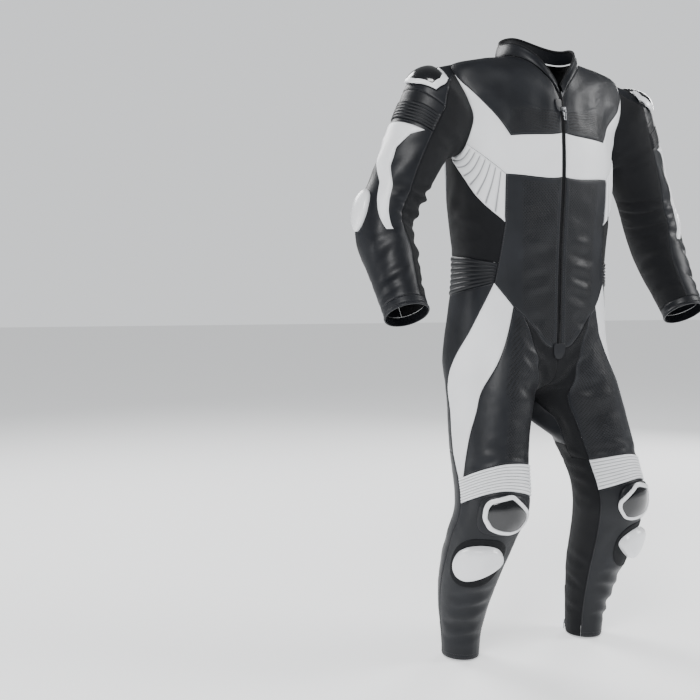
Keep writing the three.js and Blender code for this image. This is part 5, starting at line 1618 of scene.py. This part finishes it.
# the finished piece on the left, and its mirrored copy on the right
def pairUp(piece, name, node, material, smoothBy=35):
    only(piece)
    bpy.ops.object.shade_smooth_by_angle(angle=math.radians(smoothBy))
    bpy.ops.object.duplicate()
    other = bpy.context.object
    for v in other.data.vertices:
        v.co.x = -v.co.x
    other.data.flip_normals()
    for made, (label, suffix, _) in zip((piece, other), sides):
        finishHard(made, name + label, node and node + suffix, material)


def endEdit(piece):
    bpy.ops.object.mode_set(mode="OBJECT")
    fixNormals(piece)


kneeCup = {"at": (0.292, -950), "half": (0.108, 0.96), "lift": 1.6}
kneeFrame = [(33, 34), (-14, 46), (-59, 3), (-60, -14), (-44, -38), (-22, -43), (4, -39), (27, -30),
             (45, -7), (43, 18)]


def makeKneeCups():
    centre = at(*kneeCup["at"])
    size = padSize(body, centre, kneeCup["half"])
    # padded leather round the cup
    pad = flatShape(ovalOutline(size[0], size[1], 2.5), -1.5, [
        ("up", 1.0, 4.0), ("up", 0.985, 1.6), ("up", 0.97, 1.1), ("up", 0.94, 1.0), ("up", 0.9, 0.6),
        ("up", 0.86, 0.1), ("up", 0.82, -0.2), ("up", 0.8, 0), ("up", 0.75, 0), ("up", 0.7, 0),
        ("up", 0.5, 0)])
    ringBelow(pad, 5, 0.8)
    endEdit(pad)
    wrapOn(pad, body, centre, kneeCup["half"], kneeCup["lift"], size)
    pairUp(pad, "kneePad", "knee_cup", look["black"], 60)
    # white frame with a bevelled outer edge, its inner face moved so that it is widest at the upper
    # outer side
    frame = flatShape(roundedOutline(kneeFrame, 9), 4.0, [
        ("up", 1.0, 4.2), ("inset", 0.7, 0.9), ("inset", 1.0, 0.5), ("inset", 5.2, 0.25),
        ("inset", 0.7, -0.3),
        ("move", (-1.5, -1.3), 0), ("inset", 0.5, -0.8), ("inset", 0.25, -1.2)])
    bpy.ops.mesh.separate(type="SELECTED")
    cup = [o for o in bpy.context.selected_objects if o is not frame][0]
    selectUnderside(frame)
    bpy.ops.mesh.delete(type="ONLY_FACE")
    bpy.ops.mesh.select_mode(type="EDGE")
    bpy.ops.mesh.select_non_manifold()
    bpy.ops.mesh.bridge_edge_loops()
    endEdit(frame)
    wrapOn(frame, body, centre, kneeCup["half"], kneeCup["lift"], size)
    pairUp(frame, "kneeFrame", "knee_cup", look["whitePlastic"], 50)
    only(cup)
    bpy.ops.object.mode_set(mode="EDIT")
    bpy.ops.mesh.select_all(action="SELECT")
    takeUp([("up", 0.99, 0.4), ("up", 0.95, 0.4), ("up", 0.88, 0.3), ("up", 0.85, 0.3), ("up", 0.8, 0.2),
            ("up", 0.75, 0.15), ("up", 0.65, 0.1), ("up", 0.5, 0.05)])
    ringBelow(cup, 5, 0.78)
    endEdit(cup)
    wrapOn(cup, body, centre, kneeCup["half"], kneeCup["lift"], size)
    pairUp(cup, "kneeShell", "knee_cup", look["glossBlack"], 50)


kneeSlider = {"at": (0.335, -1062), "half": (0.112, 0.8), "lift": 2.4, "turn": 0}
kneeEgg = [(52, 4), (47, 26), (27, 43), (2, 49), (-22, 46), (-42, 34), (-54, 17), (-55, 3), (-44, -13),
           (-24, -31),
           (-2, -43), (16, -47), (36, -38), (49, -18)]


def makeKneeSliders():
    centre = at(*kneeSlider["at"])
    size = padSize(body, centre, kneeSlider["half"])
    # hook and loop patch under the slider
    patchShape = flatShape(ovalOutline(size[0] * 1.16, size[1] * 1.3, 2.4), -1.2, [
        ("up", 1.0, 2.6), ("up", 0.985, 0.5), ("up", 0.97, 0.1), ("up", 0.93, -0.3), ("up", 0.9, 0.1),
        ("up", 0.85, 0),
        ("up", 0.8, 0), ("up", 0.75, 0), ("up", 0.65, 0), ("up", 0.5, 0)])
    ringBelow(patchShape, 6, 0.8)
    endEdit(patchShape)
    wrapOn(patchShape, body, centre, kneeSlider["half"], 1.2, size)
    pairUp(patchShape, "sliderPatch", None, look["stretch"], 60)
    puck = flatShape(roundedOutline(kneeEgg, 16), -0.6, [
        ("up", 1.0, 3.4), ("up", 0.99, 1.2), ("up", 0.965, 4.6), ("up", 0.96, 4.2), ("up", 0.965, 2.2),
        ("up", 0.95, 1.7), ("up", 0.92, 1.8), ("up", 0.88, 1.7), ("up", 0.84, 1.4), ("up", 0.78, 1.0),
        ("up", 0.7, 0.6), ("up", 0.55, 0.3), ("up", 0.4, 0.1)])
    ringBelow(puck, 6, 0.78)
    endEdit(puck)
    wrapOn(puck, body, centre, kneeSlider["half"], kneeSlider["lift"], size)
    pairUp(puck, "kneeSlider", "knee_slider", look["whitePlastic"], 40)


shoulderCup = {"at": (0.465, 0.94), "half": (0.104, 0.43), "lift": 1.8}
# the white frame on the front lower corner: outer side, corner and inner side
shoulderV = {"outer": [(-14, 46), (-42, 30), (-55, -6), (-51, -40), (-6, -46), (44, -36)],
             "inner": [(-10, 38), (-33, 22), (-43, -6), (-39, -30), (-4, -35), (41, -28)],
             "turns": [0, 0.16, 0.33, 0.5, 0.76, 1], "rise": 4.2}


def makeShoulderCups():
    centre = np.array(shoulderCup["at"])
    size = padSize(arm, centre, shoulderCup["half"])
    cup = flatShape(ovalOutline(size[0], size[1], 2.6), -1.5, [
        ("up", 1.0, 4.0), ("up", 0.985, 1.3), ("up", 0.96, 1.2), ("up", 0.92, 1.4), ("up", 0.88, 1.2),
        ("up", 0.85, 1.0), ("up", 0.8, 0.8), ("up", 0.75, 0.5), ("up", 0.6, 0.3), ("up", 0.5, 0.1)])
    ringBelow(cup, 6, 0.8)
    endEdit(cup)
    wrapOn(cup, arm, centre, shoulderCup["half"], shoulderCup["lift"], size)
    pairUp(cup, "shoulderCup", "shoulder_cup", look["glossBlack"], 50)
    # a strip of faces bent into the corner shape, then thickened and softened
    deselect()
    bpy.ops.mesh.primitive_grid_add(x_subdivisions=50, y_subdivisions=5, size=2)
    strip = bpy.context.object
    ways = []
    for corners in (shoulderV["outer"], shoulderV["inner"]):
        ways.append((shoulderV["turns"], np.array(corners, float) * (size[0] / 52, size[1] / 44)))
    for v in strip.data.vertices:
        along, over = (v.co.x + 1) / 2, (v.co.y + 1) / 2
        ends = [np.array([np.interp(along, turn, line[:, c]) for c in (0, 1)]) for turn, line in ways]
        x, y = ends[0] * (1 - over) + ends[1] * over
        r = min(1.0, math.hypot(x / size[0], y / size[1]))
        v.co = (x, y, 3.0 + 5.0 * math.sqrt(max(1 - r ** 2.4, 0)))
    thick = strip.modifiers.new("thick", "SOLIDIFY")
    thick.thickness, thick.offset = shoulderV["rise"], 0.6
    soft = strip.modifiers.new("edges", "BEVEL")
    soft.width, soft.segments, soft.limit_method, soft.angle_limit = 1.1, 3, "ANGLE", math.radians(40)
    applyAll(strip)
    fixNormals(strip)
    wrapOn(strip, arm, centre, shoulderCup["half"], shoulderCup["lift"], size)
    pairUp(strip, "shoulderFrame", "shoulder_cup", look["whitePlastic"], 50)


elbowSlider = {"at": (0.5, 6.1), "half": (0.075, 0.72), "lift": 1.8}


def makeElbowSliders():
    centre = np.array(elbowSlider["at"])
    size = padSize(arm, centre, elbowSlider["half"])
    puck = flatShape(ovalOutline(size[0], size[1], 2.0), -1.2, [
        ("up", 1.0, 4.0), ("up", 0.985, 1.4), ("up", 0.96, 1.8), ("up", 0.95, 1.6), ("up", 0.92, 1.5),
        ("up", 0.88, 1.2), ("up", 0.84, 0.9), ("up", 0.75, 0.6), ("up", 0.6, 0.3), ("up", 0.4, 0.1)])
    ringBelow(puck, 6, 0.78)
    endEdit(puck)
    wrapOn(puck, arm, centre, elbowSlider["half"], elbowSlider["lift"], size)
    pairUp(puck, "elbowSlider", "elbow_slider", look["whitePlastic"], 40)


# shares down, and at the front and back edge, of the outer sleeve
whiteRows = [(0.02, 0.1, 0.92), (0.07, 0.24, 0.8), (0.16, 0.33, 0.66), (0.26, 0.3, 0.53), (0.36, 0.2, 0.36),
             (0.48, 0.14, 0.26), (0.6, 0.12, 0.19)]


def makeSleeveWhite():
    outer = patch(arm, {"top": ["ribLow"], "left": ["outFront"], "right": ["outRear"],
                        "bottom": ["cuffOut"]})
    rows, cols = outer["place"].shape[:2]
    table = np.array(whiteRows)
    down = np.linspace(table[0, 0], table[-1, 0], 72)
    front, rear = np.interp(down, table[:, 0], table[:, 1]), np.interp(down, table[:, 0], table[:, 2])
    across = front[:, None] + (rear - front)[:, None] * np.linspace(0, 1, 26)[None]
    i, j = np.broadcast_arrays(down[:, None] * (rows - 1), across * (cols - 1))
    i0, j0 = np.minimum(i.astype(int), rows - 2), np.minimum(j.astype(int), cols - 2)
    a, b = (i - i0)[..., None], (j - j0)[..., None]
    grid = {}
    for key in ("place", "p", "n"):
        g = outer[key]
        grid[key] = mix(mix(g[i0, j0], g[i0, j0 + 1], b), mix(g[i0 + 1, j0], g[i0 + 1, j0 + 1], b), a)
    grid["n"] = unit(grid["n"])

    def laid(grid, sizes):
        return 2.2 + 0.7 * smooth(0, 5, sizes["rim"])
    dress("sleeveWhite", "sleeve_white", grid, look["white"], laid, roll=2.6,
          hollow=True)


humpRows = np.array([  # height, half width, rise, lift
    (70, 58, 3, 3.0), (42, 54, 13, 2.6), (2, 46, 20, 2.2), (-42, 34, 20, 1.8), (-82, 21, 14, 1.8),
    (-122, 8, 5, 1.8)], float)
# white arms of the hump: height, inner and outer half width
humpWhite = np.array([(66, 34, 56), (42, 26, 51), (2, 19, 43), (-42, 9, 30), (-74, 2.5, 17)], float)


def humpGrid(rows, inner, outer, around=14):
    grid = {"place": [], "p": [], "n": []}
    shares = np.linspace(1, 0.6, 161)
    for z, low, high in zip(rows, inner, outer):
        places = at(shares, np.full(shares.shape, z))
        x = pointAt(body, places)[:, 0]
        wanted = np.linspace(high, low, around)
        s = np.interp(wanted, x, shares)
        place = at(s, np.full(s.shape, z))
        grid["place"].append(place)
        p = pointAt(body, place)
        p[:, 0] = wanted
        grid["p"].append(p)
        grid["n"].append(facing(body, place))
    return {key: np.array(v) for key, v in grid.items()}


def humpHeight(grid):
    z, x = grid["p"][..., 2], np.abs(grid["p"][..., 0])
    wide = np.interp(-z, -humpRows[:, 0], humpRows[:, 1])
    rise = np.interp(-z, -humpRows[:, 0], humpRows[:, 2])
    share = np.clip(x / wide, 0, 1)
    return np.maximum(rise * np.sqrt(np.clip(1 - share ** 2.2, 0, 1)), 2.2 * smooth(1.0, 0.9, share) + 0.8)


def makeHump():
    z = np.linspace(humpRows[0, 0], humpRows[-1, 0], 60)
    wide = np.interp(-z, -humpRows[:, 0], humpRows[:, 1])
    half = humpGrid(z, 0 * z, wide, 22)
    grid = wholeGrid(half)
    def bulge(grid, sizes):
        ends = smooth(0, 12, sizes["down"]) * smooth(0, 16, sizes["down"][-1:] - sizes["down"])
        return humpHeight(grid) * (0.25 + 0.75 * ends) + 1.2
    dress("hump", "hump", grid, look["black"], bulge, soft=0.0, both=False, thick=1.4, hollow=True)
    # the white arms lie on it
    table = humpWhite
    z = np.linspace(table[0, 0], table[-1, 0], 50)
    arms = humpGrid(z, np.interp(-z, -table[:, 0], table[:, 1]), np.interp(-z, -table[:, 0], table[:, 2]),
                    16)

    def over(grid, sizes):
        down = humpRows[0, 0] - grid["p"][..., 2]
        ends = smooth(0, 12, down) * smooth(0, 16, 192 - down)
        return humpHeight(grid) * (0.25 + 0.75 * ends) + 3.4
    dress("humpWhite", "hump", arms, look["white"], over, soft=0.0,
          roll=2.2, single=True, hollow=True)


stitch = {"long": 2.7, "pitch": 3.9, "thick": 0.36, "proud": 0.12}
# pieces with topstitching: thread, and distances in from each sewn side
stitched = {
    "yoke": ("black", {"left": (3.2, 9.5), "right": (3.2,), "bottom": (3.2,), "top": (3.2,)}),
    "chestWhite": ("white", {"left": (3.2,), "right": (3.2,), "bottom": (3.2,)}),
    "frontLower": ("black", {"left": (3.2, 9.5), "right": (3.2,), "top": (3.2,), "bottom": (3.2,)}),
    "backMain": ("black", {"left": (3.2,), "right": (3.2,), "top": (3.2,), "bottom": (3.2,)}),
    "backStripe": ("white", {"left": (3.2,), "right": (3.2,)}),
    "seatBack": ("black", {"left": (3.2,), "right": (3.2,), "top": (3.2,), "bottom": (3.2,)}),
    "thighStripe": ("white", {"left": (3.2,), "right": (3.2,)}),
    "thighFront": ("black", {"left": (3.2,), "right": (3.2,), "bottom": (3.2,)}),
    "shin": ("black", {"left": (3.2,), "right": (3.2,), "top": (3.2,), "bottom": (5, 12)}),
    "calfBack": ("black", {"left": (3.2,), "right": (3.2,), "top": (3.2,), "bottom": (5, 12)}),
    "sleeveOuter": ("black", {"left": (3.2,), "right": (3.2,), "top": (3.2,), "bottom": (3.2,)}),
    "sleeveCap": ("black", {"left": (3.2,), "right": (3.2,), "bottom": (3.2,)}),
    "sleeveWhite": ("white", {"left": (3.6,), "right": (3.6,), "top": (3.6,)}),
    "cuff": ("black", {"bottom": (6, 9)}),
}


# a line on the finished face of a piece, so far in from one of its sides
def lineOn(name, side, inset):
    made = suitSheets[name]
    outer, n = made["outer"], made["n"]
    way = made["sizes"]["across" if side in ("left", "right") else "down"]
    if side in ("top", "bottom"):
        outer, n, way = outer.swapaxes(0, 1), n.swapaxes(0, 1), way.T
    trim = slice(None) if name == "cuff" else slice(2, -2)
    points, out = [], []
    for row, normal, reach in zip(outer[trim], n[trim], way[trim]):
        spot = inset if side in ("left", "top") else reach[-1] - inset
        if reach[-1] < 2.2 * inset:
            continue
        points.append([np.interp(spot, reach, row[:, c]) for c in range(3)])
        out.append([np.interp(spot, reach, normal[:, c]) for c in range(3)])
    return np.array(points), unit(np.array(out))


# even steps along a line: places, ways on and ways out
def spread(line, out, pitch):
    reach = np.concatenate([[0], np.cumsum(np.linalg.norm(np.diff(line, axis=0), axis=1))])
    count = int(reach[-1] / pitch)
    want = (np.arange(count) + 0.5) * reach[-1] / max(count, 1)
    ends = []
    for d in (-pitch / 3, 0, pitch / 3):
        ends.append(np.stack([np.interp(want + d, reach, line[:, c]) for c in range(3)], -1))
    normal = unit(np.stack([np.interp(want, reach, out[:, c]) for c in range(3)], -1))
    run = unit(ends[2] - ends[0])
    return ends[1], run, unit(normal - run * (normal * run).sum(-1, keepdims=True))


def makeStitches():
    threads = {"black": [], "white": []}
    for name, (color, rows) in stitched.items():
        for side, insets in rows.items():
            for inset in insets:
                line, out = lineOn(name, side, inset)
                if len(line) > 3:
                    threads[color].append(spread(line, out, stitch["pitch"]))
    for color, lines in threads.items():
        place, run, out = (np.concatenate([v[k] for v in lines]) for k in range(3))
        over = np.cross(out, run)
        place = place + out * stitch["proud"]
        half, r = stitch["long"] / 2, stitch["thick"]
        rings = [place - run * half - out * 0.25]
        for along in (-0.62, 0.62):
            for a, b in ((1, 0), (0, 1), (-1, 0), (0, -1)):
                rings.append(place + run * half * along + over * a * r + out * b * r)
        rings.append(place + run * half - out * 0.25)
        points = np.stack(rings, 1).reshape(-1, 3)
        cells = []
        for j in range(4):
            m = (j + 1) % 4
            cells += [(0, 1 + m, 1 + j), (1 + j, 1 + m, 5 + m), (1 + j, 5 + m, 5 + j), (5 + j, 5 + m, 9)]
        faces = (np.arange(len(place))[:, None, None] * 10 + np.array(cells)[None]).reshape(-1, 3)
        for label, flip in (("Left", False), ("Right", True)):
            piece = newPiece(color + "Stitches" + label, points, faces.tolist(), look[color + "Thread"],
                             flip=flip)
            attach(piece, "suit")
        print(color, "stitches:", len(place), "a side")


calfZip = {"from": -1196, "to": -1303, "tape": 4.2, "pitch": 2.8, "pull": (5.2, 1.6, 16)}


def makeCalfZips():
    # zips at the inner back of the calf, in the seam between leather and stretch cloth
    z = np.linspace(calfZip["from"], calfZip["to"], 40)
    s = np.interp(z, [hem, -830], [0.85, 0.87])
    places = at(s, z)
    line, out = pointAt(body, places), facing(body, places)
    worn = foldDepth(line, out) + drape(line)
    line = line + out * worn[:, None]
    run = unit(np.gradient(line, axis=0))
    over = unit(np.cross(run, out))
    x = np.linspace(-calfZip["tape"], calfZip["tape"], 9)
    p = line[:, None] + over[:, None] * x[None, :, None]
    rise = 1.4 + 0.8 * np.exp(-(np.abs(x) / 1.6) ** 2)
    outer = p + out[:, None] * rise[None, :, None]
    reach = np.concatenate([[0], np.cumsum(np.linalg.norm(np.diff(line, axis=0), axis=1))])
    uv = np.stack([np.broadcast_to(x[None], p.shape[:2]), np.broadcast_to(-reach[:, None], p.shape[:2])],
                  -1)
    uv = uv.reshape(-1, 2)
    points, faces = shell(outer, p + out[:, None] * 0.3)
    place, way, normal = spread(line + out * 2.2, out, calfZip["pitch"] / 2)
    side = np.cross(way, normal)
    turn = np.where(np.arange(len(place)) % 2, 1, -1)[:, None] * 0.5
    corners = [place + side * (turn + a * 1.2) + way * b * 0.5 + normal * c * 0.6
               for a in (-1, 1) for b in (-1, 1) for c in (-0.6, 1)]
    toothPoints = np.stack(corners, 1).reshape(-1, 3)
    cells = np.array([(0, 1, 3, 2), (4, 6, 7, 5), (0, 4, 5, 1), (2, 3, 7, 6), (1, 5, 7, 3), (0, 2, 6, 4)])
    toothFaces = (np.arange(len(place))[:, None, None] * 8 + cells[None]).reshape(-1, 4)
    for label, flip in (("Left", False), ("Right", True)):
        tape = newPiece("calfZip" + label, points, faces, look["tape"], np.tile(uv, (2, 1)), flip=flip)
        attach(tape, "suit")
        teeth = newPiece("calfTeeth" + label, toothPoints, toothFaces.tolist(), look["metal"], flip=flip)
        fixNormals(teeth)
        teeth.data.shade_flat()
        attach(teeth, "suit")
    # its closed slider with a short puller lying down the leg
    end, n, w = line[-6], out[-6], run[-6]
    deselect()
    bpy.ops.mesh.primitive_cube_add(size=1, location=(0, 0, 3.4))
    piece = bpy.context.object
    piece.scale = (7.4, 9.5, 2.6)
    settle(piece)
    bpy.ops.mesh.primitive_cube_add(size=1, location=(0, -9.5, 5.2))
    tab = bpy.context.object
    tab.scale = (calfZip["pull"][0], calfZip["pull"][2], calfZip["pull"][1])
    settle(tab)
    only(piece)
    tab.select_set(True)
    bpy.ops.object.join()
    bevel = piece.modifiers.new("edges", "BEVEL")
    bevel.width, bevel.segments = 0.5, 3
    applyAll(piece)
    side = np.cross(w, n)
    remap(piece, lambda v: tuple(end + side * v[0] - w * v[1] + n * v[2]))
    pairUp(piece, "calfSlider", None, look["metal"], 40)


# a small leather piece laid on the centre front; outline is x and height
def smallPatch(name, outline, place, lift, thick, material):
    piece = flatShape(outline, 0, [("up", 1.0, thick * 0.6), ("up", 0.96, thick * 0.4), ("up", 0.9, 0),
                                   ("up", 0.75, 0), ("up", 0.5, 0)])
    ringBelow(piece, 4, 0.75)
    endEdit(piece)
    points = np.array([tuple(v.co) for v in piece.data.vertices])
    heights = place[1] + points[:, 1]
    shares = np.linspace(0, 0.2, 60)
    laid = []
    for (x, y, z), height in zip(points.tolist(), heights):
        places = at(shares, np.full(60, height))
        p = pointAt(body, places)
        s = float(np.interp(abs(x + place[0]), p[:, 0], shares))
        spot = at(np.array([s]), np.array([height]))
        q, n = pointAt(body, spot)[0], facing(body, spot)[0]
        sign = 1 if x + place[0] >= 0 else -1
        laid.append((x + place[0] + sign * n[0] * (lift + z), q[1] + n[1] * (lift + z),
                     q[2] + n[2] * (lift + z)))
    for v, spot in zip(piece.data.vertices, laid):
        v.co = Vector(spot) * mm
    fixNormals(piece)
    only(piece)
    bpy.ops.object.shade_smooth_by_angle(angle=math.radians(50))
    finishHard(piece, name, None, material)


def makeSmallPieces():
    # curved guard flap that the slider tucks under, and the tab at the foot of the zip
    guard = roundedOutline([(-20, 17), (-2.5, 17), (-2.5, -6), (-8, -15), (-17, -8), (-21, 6)], 6, 40)
    smallPatch("zipGuard", guard, (0, -66), 1.4, 2.0, look["black"])
    crotchTab = roundedOutline([(-17, 17), (17, 17), (15, -8), (6, -18), (-6, -18), (-15, -8)], 6, 40)
    smallPatch("zipEndTab", crotchTab, (0, -607), 1.6, 2.0, look["black"])


makeCamera()
makeBodyPieces()
makeSleevePieces()
makeCuffs()
makeLumbar()
makeCollar()
makeSleeveWhite()
makeHump()
print("cloth sewn:", len(pieceMade), "pieces")
makeZip()
makeZipSlider()
makeZipPull()
print("zip made")
makeKneeCups()
makeKneeSliders()
makeShoulderCups()
makeElbowSliders()
print("cups and sliders made")
makeStitches()
makeCalfZips()
makeSmallPieces()
print("stitched")
makeStudio(form["hemZ"] * mm - 0.004)
print("done")
